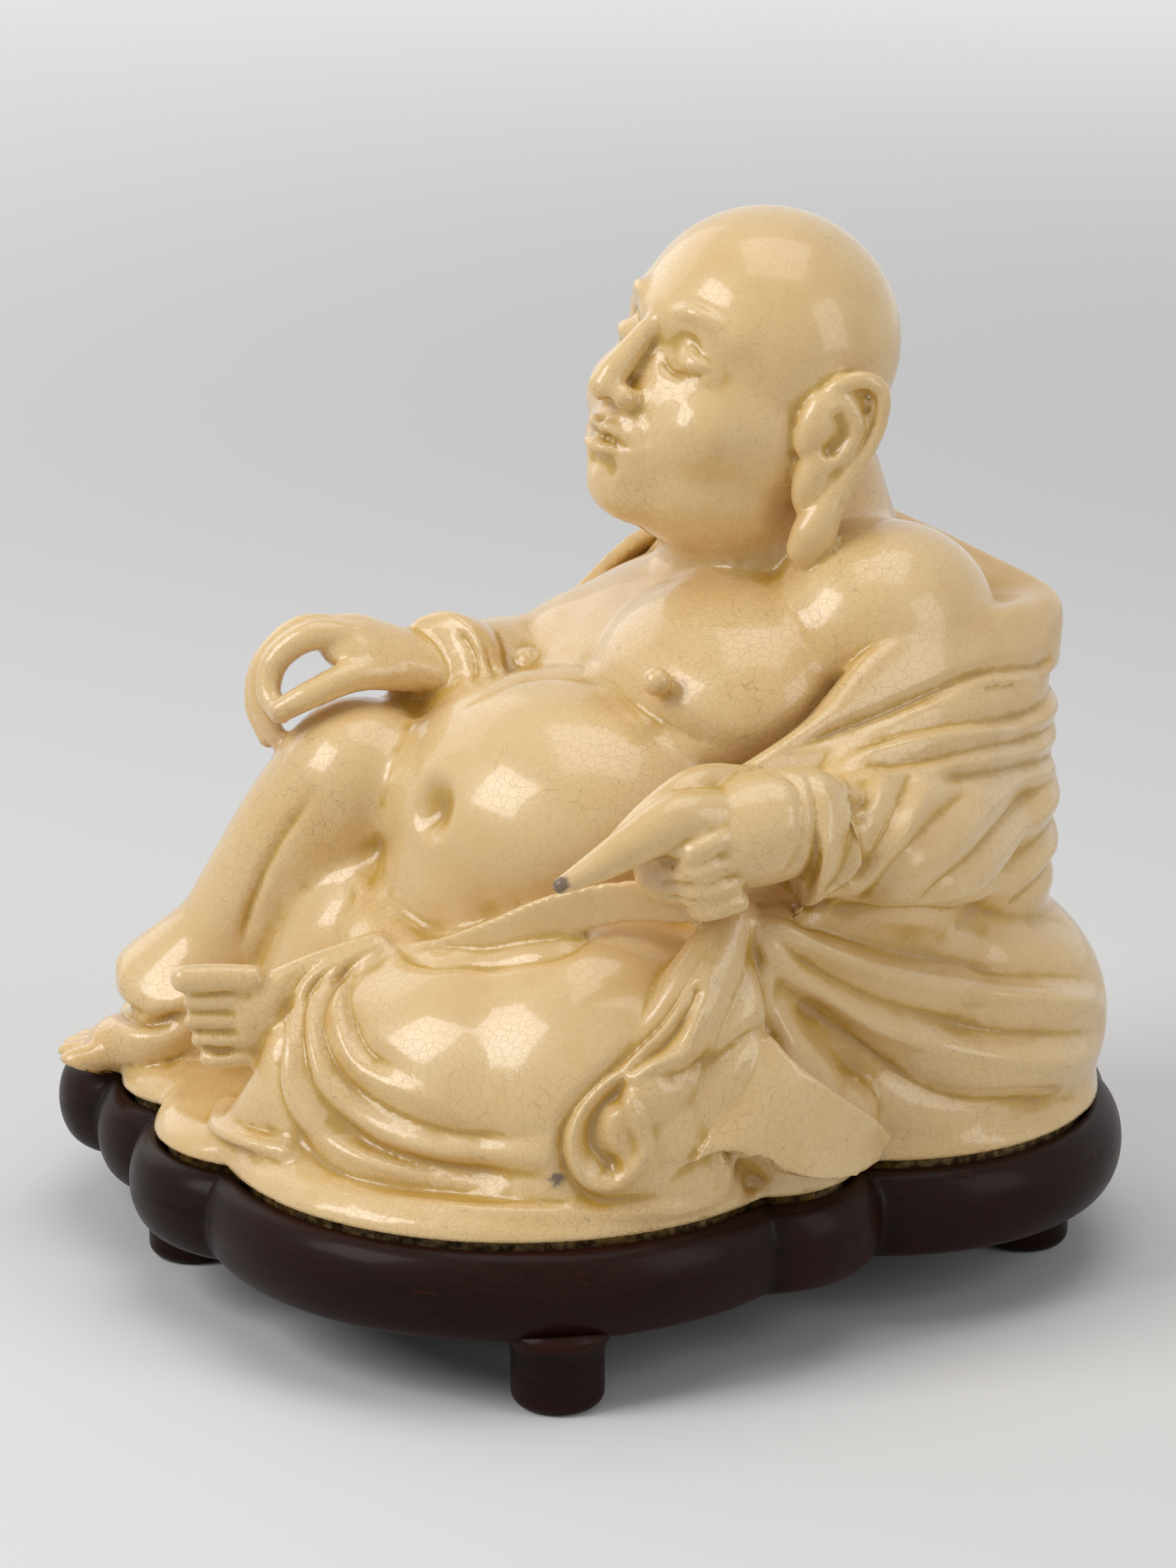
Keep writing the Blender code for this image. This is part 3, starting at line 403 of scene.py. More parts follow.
def headMasses(clay):
    skull = bmesh.new()
    ball(skull, (0, 3, 9), (30.5, 29.5, 29))
    ball(skull, (0, -2, -10), (28.5, 26.5, 26))
    ball(skull, (0, -2, -25), (26, 23.5, 16))
    ball(skull, (0, -18, -31), (12, 10, 8))
    ball(skull, (0, -17, -20), (17, 14, 14))
    tube(skull, [(-17, -17, 8), (0, -22, 8), (17, -17, 8)], [6, 7, 6], sides=16)
    for s in (-1, 1):
        ball(skull, (s * 14, -15, -13), (12, 11, 12))
    bmesh.ops.transform(skull, matrix=headMatrix(), verts=skull.verts[:])
    added(clay, skull)


def face(clay):
    parts = bmesh.new()
    tube(parts, [(0, -26, 7), (0, -29.5, 0), (0, -33, -8)], [2.4, 2.8, 3.6], sides=12)
    ball(parts, (0, -33.5, -11), (4.2, 4, 3.8), detail=3)
    for s in (-1, 1):
        brow = [(s * 4.5, -26.5, 8.6), (s * 11, -25.6, 10.6), (s * 18, -20.5, 9), (s * 22, -16, 5.8)]
        tube(parts, brow, [1.6, 2, 1.8, 1.2], sides=12)
        ball(parts, (s * 4.2, -30.6, -12), (3, 3.6, 2.8), detail=3)
        ball(parts, (s * 12, -18.2, 0), (7.8, 7.8, 6.2), detail=3)
        tube(parts, [(s * 7.5, -28.2, -20.6), (s * 3, -31, -19.4), (0, -31, -20)], [0.9, 1.6, 1.5], sides=10)
        tube(parts, [(s * 6.5, -28.2, -22.6), (s * 3, -30.2, -23.8), (0, -30.8, -24.2)], [1.1, 1.8, 2],
             sides=10)
        ear(parts, s)
    bmesh.ops.transform(parts, matrix=headMatrix(), verts=parts.verts[:])
    added(clay, parts)


def ear(clay, s):
    # Long-lobed ear: a plate, its rolled rim, the inner ridge and the broad hanging lobe
    ball(clay, (s * 30, 6, -1), (5.2, 8, 10.5), (0, 0, s * 20))
    ball(clay, (s * 31, 5, -13), (4.4, 5.5, 10), (0, 0, s * 20))
    ball(clay, (s * 30.6, 0, -3), (3.4, 3.6, 8))
    rim = [(30, 0.5, 0), (32, 1.5, 6), (34, 5.5, 9.3), (35.4, 10.5, 8), (35.8, 12.4, 1), (35.6, 11.4, -7),
           (35, 9.4, -14)]
    lobe = [(34.8, 8, -20), (34.4, 7.4, -25), (34, 7, -29)]
    sizes = [1.9, 2.1, 2.3, 2.3, 2.3, 2.5, 3.1, 4.2, 5.2, 4.6]
    tube(clay, [(s * x, y, z) for x, y, z in rim + lobe], sizes, flat=0.9, up=(1, 0, 0), sides=16)
    ridge = [(34.4, 4.5, 4), (35.4, 7.6, 0), (35.4, 7.2, -6), (34.4, 4.4, -11)]
    tube(clay, [(s * x, y, z) for x, y, z in ridge], [1.3, 1.6, 1.6, 1.3], sides=12)


def nipples(clay):
    for x, y, z in ((29, -8, 141), (-22, 3, 133)):
        ball(clay, (x, y, z), 3.4, detail=3)


def rightHand(clay):
    tube(clay, [(-37, -8, 131), (-42, -16, 134), (-48, -24, 137)], [8.5, 9, 10], flat=0.62, up=(0.3, 0, 1))
    fingers = [
        ([(-46, -26, 139), (-51, -35, 141), (-56, -41, 136), (-56, -44, 129), (-51, -45, 125)], 4, 2.6),
        ([(-51, -23, 139), (-58, -32, 140), (-63, -38, 133), (-63, -40, 124), (-58, -40, 117)], 4, 2.5),
        ([(-54, -20, 138), (-63, -27, 138), (-69, -33, 131), (-69, -36, 122), (-64, -37, 115)], 3.9, 2.5),
        ([(-57, -16, 136), (-67, -22, 135), (-73, -28, 129), (-73, -31, 121), (-68, -33, 114)], 3.6, 2.3),
        ([(-38, -16, 131), (-41, -30, 133), (-45, -40, 130), (-50, -46, 126)], 4.4, 2.8),
    ]
    for points, root, tip in fingers:
        sizes = np.linspace(root, tip, len(points))
        tube(clay, points, [float(r) for r in sizes], sides=12)


def leftHand(clay):
    # Fist on the cloth, its back to the left, the fingers curled in below the knuckles, and the sleeve's cuff
    cuff = placed((75.6, -5.5, 115.5), (90, 0, -28))
    bmesh.ops.create_cone(clay, cap_ends=True, segments=48, radius1=13, radius2=14.6, depth=10, matrix=cuff)
    fist = bmesh.new()
    tube(fist, [(17, 0, 3), (8, 0, 2), (0, 0.5, -0.5), (-6, 2, -4.5)], [11.5, 12.3, 11.2, 8.5])
    knuckles = [(-3.5, 3.2), (-2.5, -2.3), (-1.2, -7.2), (0.5, -11)]
    tips = [(-13, -0.8), (-13, -4.9), (-11.6, -9), (-9, -12.8)]
    for (x, z), (left, low) in zip(knuckles, tips):
        middle = ((x + left) / 2 - 1, -9.2, (z + low) / 2)
        bend = (left + 1.2, -6.4, low)
        tube(fist, [(x, -8.6, z), middle, bend, (left + 1.6, 0, low)], [2.3, 2.4, 2.3, 2.1], sides=14)
    bmesh.ops.transform(fist, matrix=placed((66.3, -25.7, 117.6), (0, 0, 62)), verts=fist.verts[:])
    added(clay, fist)


def heldCloth(clay):
    # The end of the robe pulled up through the fist, and the fold behind it
    tube(clay, [(68, -27, 123), (64, -37, 124), (60, -46, 120), (57, -55, 116), (54, -62, 113)],
         [6, 6, 4.8, 3.4, 1.9])
    tube(clay, [(62, -14, 126), (60, -27, 128), (57, -38, 124), (54, -46, 118)], [4.5, 4.8, 3.6, 2.6])
    ball(clay, (60, -34, 112), (9, 9, 8))


def collar(clay):
    rim = [(18, 75, 164), (38, 84, 156), (60, 87, 149), (67, 66, 150), (64, 44, 153), (62, 24, 146)]
    rim += [(62, 8, 136), (60, -10, 130), (58, -20, 127)]
    low = [(18, 80, 152), (38, 90, 143), (62, 86, 134), (73, 64, 136), (73, 44, 138), (71, 24, 132)]
    low += [(69, 8, 124), (64, -9, 120), (61, -18, 117)]
    inner = [(18, 62, 158), (34, 68, 154), (50, 74, 150), (56, 60, 150), (56, 44, 151), (55, 26, 144)]
    inner += [(55, 10, 134), (54, -6, 128), (53, -15, 125)]
    sheet(clay, [inner, rim, low], 3.5)
    top = [(14, 76, 165), (-12, 72, 160), (-30, 52, 152), (-36, 36, 140), (-40, 22, 130)]
    foot = [(14, 82, 154), (-16, 80, 148), (-38, 58, 142), (-44, 40, 130), (-46, 22, 122)]
    sheet(clay, [top, foot], 3.5)


def waist(clay):
    # The robe's edge standing a little off the belly
    top = [(-27, -43, 92), (-18, -49, 88), (-6, -54, 86), (8, -54, 89), (22, -51, 96), (34, -46, 103)]
    top += [(46, -38, 107), (55, -30, 107), (63, -22, 106)]
    low = [(-22, -42, 82), (-14, -48, 80), (-4, -53, 79), (10, -53, 82), (24, -50, 88), (36, -44, 94)]
    low += [(48, -36, 98), (57, -28, 98), (64, -20, 97)]
    sheet(clay, [top, low], 2.2)


def leftFoot(clay):
    tube(clay, [(-4, -58, 74), (-14, -70, 71.5), (-23, -80, 69.5)], [8, 6.5, 4.6], flat=1.85)
    toes = [(79, -1, 3.2), (73.7, 0, 1.95), (69.4, 0, 1.95), (65.1, 1, 1.95), (60.9, 2.2, 1.9)]
    for z, shift, size in toes:
        middle = (-27 + shift * 0.5, -86.5, z)
        end = (-30.6 + shift, -90.2 + shift, z)
        tube(clay, [(-21.5, -80.5, z), middle, end], [size, size * 1.05, size], sides=14)


def rightFoot(clay):
    tube(clay, [(-64, -47, 64), (-70, -54, 56), (-75, -61, 49), (-84, -65, 45)], [9.5, 10.5, 10.5, 8.4],
         flat=0.8)
    toes = [(-88, -76, 3.5), (-94, -72.5, 2.7), (-97, -68.5, 2.6), (-98.5, -64, 2.5), (-98.5, -59.5, 2.4)]
    for k, (x, y, size) in enumerate(toes):
        tube(clay, [(-81 - k * 0.8, -69 + k * 3, 44.5), (x, y, 41.6)], [size, size], sides=14)


def hems(clay):
    # The apron's lip that folds over the hem below the left foot
    tube(clay, [(-34, -77, 46), (-27, -85, 45.6), (-19, -88.5, 46), (-10, -88, 46), (-4, -86, 46)],
         [3, 3.4, 3, 3.2, 4.2], flat=0.62)


def curl(clay):
    # The strip of cloth below the fist that widens into a curled end lying on the hem
    tube(clay, [(65, -20, 99), (65, -31, 87), (65, -39, 77), (62, -46, 67), (58, -50, 57), (56, -49, 50)],
         [5, 8, 9, 11, 11, 10])
    tube(clay, [(66, -16, 92), (68, -26, 78), (68, -33, 66), (66, -37, 56)], [6, 9, 10, 10])
    ball(clay, (62, 0, 50), (19, 19, 17))
    top = [(76, -22, 76), (80, -20, 71), (83, -15, 66), (84.5, -9, 61), (83.5, 0, 54.5), (80, 9, 47)]
    low = [(74, -44, 51), (78, -36, 54), (81, -28, 50), (83, -20, 46), (83.5, -10, 43), (82, 3, 42)]
    sheet(clay, [top, low], 3.4)


# Carved lines: kind, half width, depth and points beside the surface; the face's own lie in the head's place
faceLines = [
    ("groove", 2.6, 1.5, [(6, -27, -0.6), (9, -27, -2.4), (12.5, -26, -3), (16, -24, -2),
                          (19.5, -21, 0.6)]),
    ("groove", 2.6, 1.1, [(6.5, -27, 2), (10, -27, 4.6), (13.5, -26, 4.8), (17, -24, 3.4),
                          (20.5, -20, 0.8)]),
    ("groove", 5, 0.7, [(7, -30, -13), (10, -28, -16.5), (12, -26, -21)]),
    ("hollow", 1.5, 1.6, [(2.6, -34, -14.4), (3.6, -33, -14.4)]),
    ("hollow", 2.8, 1.6, [(35, 2.6, 0), (36, 4.2, -3), (35, 3.4, -7)]),
    ("groove", 2, 1.0, [(35, 4, 6.2), (36.5, 8.2, 5.4), (37, 10, 1), (37, 9.4, -6)]),
]
middleLines = [
    ("groove", 2.6, 1.6, [(-9, -27, -21), (-4.5, -30, -21.8), (0, -31, -21.4), (4.5, -30, -21.8),
                          (9, -27, -21)]),
    ("hollow", 1.6, 0.7, [(0, -33, -15), (0, -32, -18)]),
    ("hollow", 4, 1.4, [(-4, -29, -27.6), (0, -30, -28), (4, -29, -27.6)]),
]

sackFolds = [
    ("groove", 9, 3.2, [(67, -7, 100), (77, 2, 98), (85, 16, 96), (82, 34, 90), (76, 49, 86),
                        (73, 75, 78)]),
    ("groove", 9, 3.8, [(70, -18, 101), (75, -7, 97), (79, 11, 88), (80, 36, 80), (84, 53, 74),
                        (81, 80, 64)]),
    ("groove", 9, 4.0, [(72, -19, 98), (76, -11, 89), (82, 5, 78), (84, 31, 67), (88, 47, 62),
                        (85, 78, 54)]),
    ("groove", 9, 4.0, [(73, -16, 84), (76, -5, 75), (76, 12, 62), (83, 25, 52), (88, 43, 47),
                        (87, 65, 42)]),
    ("welt", 3.6, 1.3, [(72, -18, 99), (76, -13, 95), (82, 7, 85), (84, 32, 75), (88, 59, 67),
                        (83, 80, 60)]),
    ("welt", 3.6, 1.3, [(74, -19, 93), (76, -11, 85), (80, 8, 72), (86, 30, 62), (91, 50, 56),
                        (84, 77, 49)]),
]
robeFolds = [
    ("groove", 4, 2.2, [(52, 86, 136), (70, 72, 137), (71, 58, 139), (71, 46, 140), (68, 23, 136),
                        (64, 8, 133), (61, -1, 131)]),
    ("groove", 7, 3.4, [(60, 84, 129), (74, 67, 129), (77, 52, 131), (75, 33, 133), (71, 20, 132),
                        (69, 8, 129)]),
    ("groove", 7, 3.4, [(60, 84, 122), (75, 65, 123), (79, 46, 126), (80, 27, 128), (76, 15, 128),
                        (73, 6, 128)]),
    ("groove", 7, 3.2, [(62, 82, 114), (76, 66, 117), (78, 53, 119), (81, 34, 122), (82, 22, 124)]),
    ("groove", 3.2, 1.7, [(77, -12, 131), (83, -16, 122), (80, -13, 112), (76, -11, 105)]),
    ("groove", 7, 3.0, [(75, 7, 127), (84, -2, 126), (87, -9, 119), (85, -11, 109), (80, -12, 103)]),
    ("groove", 8, 3.6, [(79, 18, 126), (86, 6, 122), (87, -2, 114), (85, -7, 105), (78, -8, 99)]),
    ("groove", 8, 3.6, [(83, 33, 121), (89, 16, 118), (90, 2, 111), (84, 0, 101), (76, 2, 97)]),
    ("groove", 8, 3.6, [(66, 76, 110), (77, 59, 111), (84, 46, 110), (87, 33, 108), (88, 17, 103),
                        (83, 12, 96)]),
    ("groove", 8, 3.4, [(62, 84, 101), (76, 70, 101), (80, 53, 98), (83, 38, 94), (81, 30, 91)]),
    ("groove", 6, 2.4, [(62, 88, 92), (76, 74, 92), (79, 58, 89), (77, 50, 86)]),
]
backFolds = [
    ("groove", 9, 2.6, [(34, 90, 140), (6, 92, 122), (-18, 84, 100), (-34, 68, 78)]),
    ("groove", 9, 2.8, [(52, 90, 128), (26, 96, 104), (4, 94, 80), (-8, 88, 56)]),
    ("groove", 9, 2.4, [(4, 88, 144), (-18, 78, 130), (-36, 62, 112), (-48, 40, 92)]),
    ("groove", 8, 2.2, [(66, 84, 112), (52, 94, 88), (44, 98, 64)]),
]
legFolds = [
    ("groove", 5, 2.4, [(-4, -63, 86), (-12, -71, 81), (-14, -76, 75), (-11, -82, 68), (-9, -86, 60),
                        (-4, -87, 52), (4, -87, 47), (19, -85, 44), (39, -75, 44)]),
    ("groove", 5, 2.2, [(-3, -62, 86), (-9, -69, 81), (-10, -76, 76), (-2, -83, 68), (3, -85, 61),
                        (11, -82, 54), (22, -80, 50), (38, -73, 49), (57, -66, 51)]),
    ("groove", 5, 2.2, [(-2, -61, 86), (-6, -66, 82), (-5, -73, 77), (0, -80, 72), (8, -82, 65),
                        (16, -81, 61), (28, -78, 58), (38, -73, 57), (57, -65, 60)]),
    ("groove", 5, 1.8, [(-5, -65, 82), (-1, -71, 78), (5, -75, 74), (13, -78, 70), (21, -78, 69)]),
    ("welt", 3.4, 1.2, [(-3, -62, 86), (-10, -70, 81), (-12, -77, 75), (-6, -83, 68), (-3, -86, 60),
                        (4, -85, 53), (14, -83, 48), (38, -74, 46.5), (56, -66, 47)]),
    ("welt", 3.4, 1.2, [(-2, -61, 86), (-8, -67, 82), (-7, -75, 76), (-1, -82, 70), (5, -84, 63),
                        (14, -82, 57), (25, -79, 54), (38, -73, 53), (57, -66, 55)]),
    ("welt", 3.2, 1.0, [(-2, -62, 85), (-3, -70, 79), (3, -77, 74), (10, -80, 68), (20, -79, 65),
                        (32, -75, 63)]),
    ("groove", 4, 1.4, [(-1, -58, 86), (4, -59, 84), (14, -61, 86), (22, -58, 87), (30, -55, 88),
                        (41, -49, 92), (43, -38, 95)]),
    ("groove", 3.4, 1.5, [(-38, -47, 110), (-44, -50, 101), (-49, -52, 91), (-53, -54, 80),
                          (-54, -56, 72)]),
    ("groove", 4, 3.0, [(-86, -64, 53), (-76, -69, 53.5), (-68, -68, 54), (-62, -64, 56)]),
    ("groove", 1.8, 0.8, [(-31, -92, 76), (-27, -88, 76), (-22, -85, 76)]),
    ("groove", 1.8, 0.8, [(-31, -93, 71.6), (-27, -89, 71.6), (-22, -85, 71.6)]),
    ("groove", 1.8, 0.8, [(-30, -91, 67.4), (-26, -88, 67.4), (-22, -85, 67.4)]),
    ("groove", 2.2, 1.5, [(-29, -91, 63.2), (-25, -88, 63.2), (-22, -85, 63.2)]),
]
panelFolds = [
    ("groove", 4, 2.6, [(67, -31, 97), (68, -38, 90), (67, -45, 83), (64, -51, 76), (61, -59, 70),
                        (58, -64, 63), (57, -65, 58), (58, -65, 52), (60, -63, 48), (63, -60, 45),
                        (67, -56, 45), (71, -51, 46)]),
    ("welt", 2.6, 1.7, [(69, -34, 93), (69, -43, 84), (67, -51, 78), (63, -58, 70), (60, -63, 64),
                        (60, -65, 58), (61, -65, 54), (62, -63, 50), (65, -60, 49), (67, -57, 50),
                        (69, -54, 54), (70, -53, 58), (69, -54, 63), (66, -54, 68), (66, -54, 72),
                        (68, -51, 74), (70, -46, 75), (72, -44, 77), (72, -42, 80), (71, -39, 86),
                        (70, -33, 92)]),
    ("hollow", 2.6, 2.2, [(70, -38, 88), (71, -42, 84), (69, -47, 78), (66, -53, 73)]),
    ("hollow", 4.2, 3.4, [(65, -55, 70), (62, -59, 66), (61, -60, 61), (62, -60, 57), (64, -58, 54)]),
    ("groove", 5, 2.2, [(74, -21, 79), (76, -31, 77), (74, -37, 74), (72, -45, 72), (69, -49, 72)]),
    ("groove", 5, 2.4, [(79, -19, 69), (76, -23, 63), (76, -31, 59), (75, -38, 56), (74, -43, 52),
                        (72, -48, 48)]),
    ("groove", 4, 2.4, [(70, -21, 98), (72, -21, 88), (74, -21, 80), (76, -20, 75), (79, -19, 69)]),
    ("welt", 2.8, 1.6, [(76, -33, 43), (77, -35, 48), (77, -37, 52), (78, -36, 55), (80, -33, 54),
                        (81, -28, 51), (82, -22, 48), (82, -15, 45)]),
    ("hollow", 4.4, 3.4, [(80, -31, 49), (78, -26, 45), (76, -23, 41)]),
    ("welt", 3, 1.2, [(75, -34, 42), (72, -45, 42), (65, -57, 43), (57, -68, 43), (42, -80, 43),
                      (20, -90, 43)]),
]
bodyLines = [
    ("groove", 7, 1.6, [(-12, -26, 131), (-6, -12, 136), (8, -5, 137), (24, -8, 134), (37, -6, 130),
                        (46, -1, 126)]),
    ("hollow", 8.5, 4.4, [(-4, -43, 113.6), (-4, -43, 112.4)]),
    ("groove", 3, 1.4, [(-31, -10, 141), (-26, -10, 137), (-22, -13, 130)]),
    ("groove", 3, 1.4, [(-28, -7, 142), (-22, -8, 136), (-18, -11, 130)]),
    ("groove", 3, 1.4, [(-31, 1, 140), (-22, -2, 135), (-16, -7, 130)]),
    ("groove", 2.2, 1.2, [(62, -45, 115), (66, -41, 116), (69, -40, 118)]),
    ("groove", 2.2, 1.2, [(63, -44, 111), (67, -41, 111.5), (71, -39, 112.5)]),
    ("groove", 2.2, 1.2, [(65, -42, 107), (68, -40, 107.5), (72, -38, 108.5)]),
    ("groove", 3, 1.2, [(71, -17, 130), (77, -16, 129), (82, -19, 124), (84, -21, 116), (80, -21, 107)]),
]


def carved(figure, strokes):
    # Works lines into the surface: grooves and hollows go in, welts come out
    tree = BVHTree.FromObject(figure, bpy.context.evaluated_depsgraph_get())
    mesh = figure.data
    co = coordinates(mesh)
    normals = np.empty(len(co) * 3)
    mesh.vertex_normals.foreach_get("vector", normals)
    normals = normals.reshape(-1, 3)
    down, up = np.zeros(len(co)), np.zeros(len(co))
    for kind, width, depth, points in strokes:
        laid = [tree.find_nearest(p) for p in spline(points, 10)]
        line = np.array([q[0] for q in laid])
        for _ in range(figureShape["linePasses"]):
            line[1:-1] = (line[:-2] + 2 * line[1:-1] + line[2:]) / 4
        facing = np.array([q[1] for q in laid])
        inside = np.all((co > line.min(0) - width) & (co < line.max(0) + width), axis=1)
        near = np.where(inside)[0]
        start, span = line[:-1], np.diff(line, axis=0)
        square = np.maximum((span**2).sum(1), 1e-6)
        gap = co[near, None] - start[None]
        part = np.clip((gap * span).sum(2) / square, 0, 1)
        distance = np.linalg.norm(gap - part[..., None] * span, axis=2)
        nearest = distance.argmin(axis=1)
        rows = np.arange(len(near))
        x = np.minimum(distance[rows, nearest] / width, 1)
        place = (nearest + part[rows, nearest]) / len(span)
        ends = np.minimum(place, 1 - place) * figureShape["lineTaper"] + figureShape["lineEndDepth"]
        taper = np.clip(ends, 0, 1)
        if kind == "hollow":
            taper = np.ones(len(near))
        taper *= (normals[near] * facing[nearest]).sum(1) > 0.1
        if kind == "groove":
            down[near] = np.maximum(down[near], depth * taper * (1 - x) ** 2)
        elif kind == "hollow":
            down[near] = np.maximum(down[near], depth * taper * (1 - x**2) ** 2)
        else:
            up[near] = np.maximum(up[near], depth * taper * (1 - x**2) ** 2)
    moved(mesh, co + normals * (up - down)[:, None])


def tucked(figure):
    # Draws the figure's foot in to stand inside the recess; above the rim it hangs over on a slope
    co = coordinates(figure.data)
    lobes = np.array(standShape["lobes"], float)
    away = co[:, None, :2] - lobes[None, :, :2]
    distance = np.hypot(away[..., 0], away[..., 1])
    room = lobes[None, :, 2] - figureShape["sideGap"] - distance
    best = room.argmax(axis=1)
    rows = np.arange(len(co))
    over = co[:, 2] - rimHeight - figureShape["overhangStart"]
    allowed = np.maximum(0, over) * figureShape["overhangSlope"]
    second = np.sort(room, axis=1)[:, -2]
    closeness = np.clip(1 - (room[rows, best] - second) / figureShape["creaseWidth"], 0, 1)
    crease = figureShape["creaseGap"] * closeness * (over < 0)
    excess = np.maximum(0, crease - room[rows, best] - allowed)
    co[:, :2] -= away[rows, best] / np.maximum(distance[rows, best], 1)[:, None] * excess[:, None]
    moved(figure.data, co)


def headLines():
    place = headMatrix()
    lines = list(middleLines)
    for kind, width, depth, points in faceLines:
        for s in (-1, 1):
            lines.append((kind, width, depth, [(s * x, y, z) for x, y, z in points]))
    turned = []
    for kind, width, depth, points in lines:
        turned.append((kind, width, depth, [tuple(place @ Vector(p)) for p in points]))
    return turned


def cutFlat(figure):
    # Trims the underside to the flat base, closes it and drops loose crumbs
    body = bmesh.new()
    body.from_mesh(figure.data)
    geometry = body.verts[:] + body.edges[:] + body.faces[:]
    bmesh.ops.bisect_plane(body, geom=geometry, plane_co=(0, 0, baseHeight), plane_no=(0, 0, -1),
                           clear_outer=True)
    bmesh.ops.holes_fill(body, edges=[edge for edge in body.edges if edge.is_boundary])
    left, islands = set(body.verts), []
    while left:
        queue = [left.pop()]
        island = []
        while queue:
            vert = queue.pop()
            island.append(vert)
            for edge in vert.link_edges:
                other = edge.other_vert(vert)
                if other in left:
                    left.remove(other)
                    queue.append(other)
        islands.append(island)
    islands.sort(key=len, reverse=True)
    bmesh.ops.delete(body, geom=[vert for island in islands[1:] for vert in island], context="VERTS")
    bmesh.ops.triangulate(body, faces=body.faces[:])
    bmesh.ops.recalc_face_normals(body, faces=body.faces[:])
    body.to_mesh(figure.data)
    body.free()


# Marks that the glaze's colours follow
marks = {
    "passes": (6, 60),  # smoothing for the near and the wide hollows
    # the pooling tint is glaze pooling and painted shade: golden to deep brown in creases and hollows
    "poolingAndShadeGains": (2.4, 0.24),
    "ridgeGains": (2.4, 0.3),
    "dirtAndShadeHeight": 2.2,  # dirt and painted shade along the hem just over the rim, where it meets the stand
    "dirtAndShadeFade": 1.6,
    # Places rubbed to a warm brown, and chips: x, y, z and reach
    "worn": [
        (-50, -45, 124, 5), (-58, -41, 116, 5), (-64, -38, 114, 5), (62, -40, 112, 5), (60, -36, 104, 4),
    ],
    "chipped": [(55, -64, 114, 2.4), (-88, -58.5, 61, 2.6), (57, -66, 50, 1.6)],
    "wornEdge": (1.3, 1),  # where the fade ends, as a share of the reach, and its steepness
    "chippedEdge": (1.15, 6),
}


def markedFigure(figure):
    mesh = figure.data
    co = coordinates(mesh)
    near, wide = (hollowness(mesh, passes) for passes in marks["passes"])
    nearPoolAndShade, widePoolAndShade = marks["poolingAndShadeGains"]
    nearRidge, wideRidge = marks["ridgeGains"]
    # Glaze pooling and painted shade: creases and hollows are tinted golden, the deepest ones deep brown
    painted(mesh, "poolingAndShade", near * nearPoolAndShade + wide * widePoolAndShade)
    # Dirt and painted shade: the hem darkens just over the rim and below it, in the gap to the stand
    painted(mesh, "dirtAndShade", (rimHeight + marks["dirtAndShadeHeight"] - co[:, 2]) / marks["dirtAndShadeFade"])
    painted(mesh, "ridge", -near * nearRidge - wide * wideRidge)
    for name in ("worn", "chipped"):
        fadeEnd, steepness = marks[name + "Edge"]
        share = np.zeros(len(co))
        for x, y, z, radius in marks[name]:
            distance = np.linalg.norm(co - np.array((x, y, z)), axis=1)
            share = np.maximum(share, np.clip((fadeEnd - distance / radius) * steepness, 0, 1))
        painted(mesh, name, share)


def buildFigure():
    clay = bmesh.new()
    for form in (torso, headMasses, rightLeg, leftLeg, sack, leftRobe, rightSleeve, base):
        form(clay)
    figure = fused(meshObject("porcelain_figure", clay), figureShape["broadVoxel"], 10)
    print("broad forms fused")
    clay = bmesh.new()
    details = (face, nipples, rightHand, leftHand, heldCloth, collar, waist, leftFoot, rightFoot, hems, curl)
    for form in details:
        form(clay)
    bmesh.ops.recalc_face_normals(clay, faces=clay.faces[:])
    clay.from_mesh(figure.data)
    clay.to_mesh(figure.data)
    clay.free()
    fused(figure, figureShape["fineVoxel"], 3)
    print("details fused:", len(figure.data.vertices))
    carved(figure, sackFolds + robeFolds + backFolds + legFolds + panelFolds + bodyLines + headLines())
    softened(figure, 3)
    tucked(figure)
    cutFlat(figure)
    thin = figure.modifiers.new("thin", "DECIMATE")
    thin.ratio = min(1, figureShape["triangles"] / len(figure.data.polygons))
    applied(figure)
    markedFigure(figure)
    settled(figure)
    return figure


def node(tree, kind, sockets=None, **settings):
    made = tree.nodes.new(kind)
    for name, value in settings.items():
        setattr(made, name, value)
    for name, value in (sockets or {}).items():
        made.inputs[name].default_value = value
    return made


def ramp(tree, stops, source):
    made = tree.nodes.new("ShaderNodeValToRGB")
    elements = made.color_ramp.elements
    while len(elements) < len(stops):
        elements.new(0.5)
    for element, (place, colour) in zip(elements, stops):
        element.position = place
        element.color = (*colour, 1)
    tree.links.new(source, made.inputs["Fac"])
    return made


def mixed(tree, share, first, second):
    made = tree.nodes.new("ShaderNodeMix")
    made.data_type = "RGBA"
    sockets = (made.inputs[0], made.inputs[6], made.inputs[7])
    for socket, value in zip(sockets, (share, first, second)):
        if isinstance(value, bpy.types.NodeSocket):
            tree.links.new(value, socket)
        elif isinstance(value, tuple):
            socket.default_value = (*value, 1)
        else:
            socket.default_value = value
    return made.outputs[2]


def maths(tree, operation, first, second=0.0, third=0.0):
    made = tree.nodes.new("ShaderNodeMath")
    made.operation = operation
    for socket, value in zip(made.inputs, (first, second, third)):
        if isinstance(value, bpy.types.NodeSocket):
            tree.links.new(value, socket)
        else:
            socket.default_value = value
    return made.outputs[0]


crackle = {
    "wobble": {"Scale": 260.0, "Detail": 2.0},
    "shift": 0.0016,  # how far the wobble moves the lines, in metres
    "randomness": 0.9,
    "nets": [(1.0, 0.035, "Lines"), (2.3, 0.045, "Fine Lines")],  # fineness, width in cells and output
}


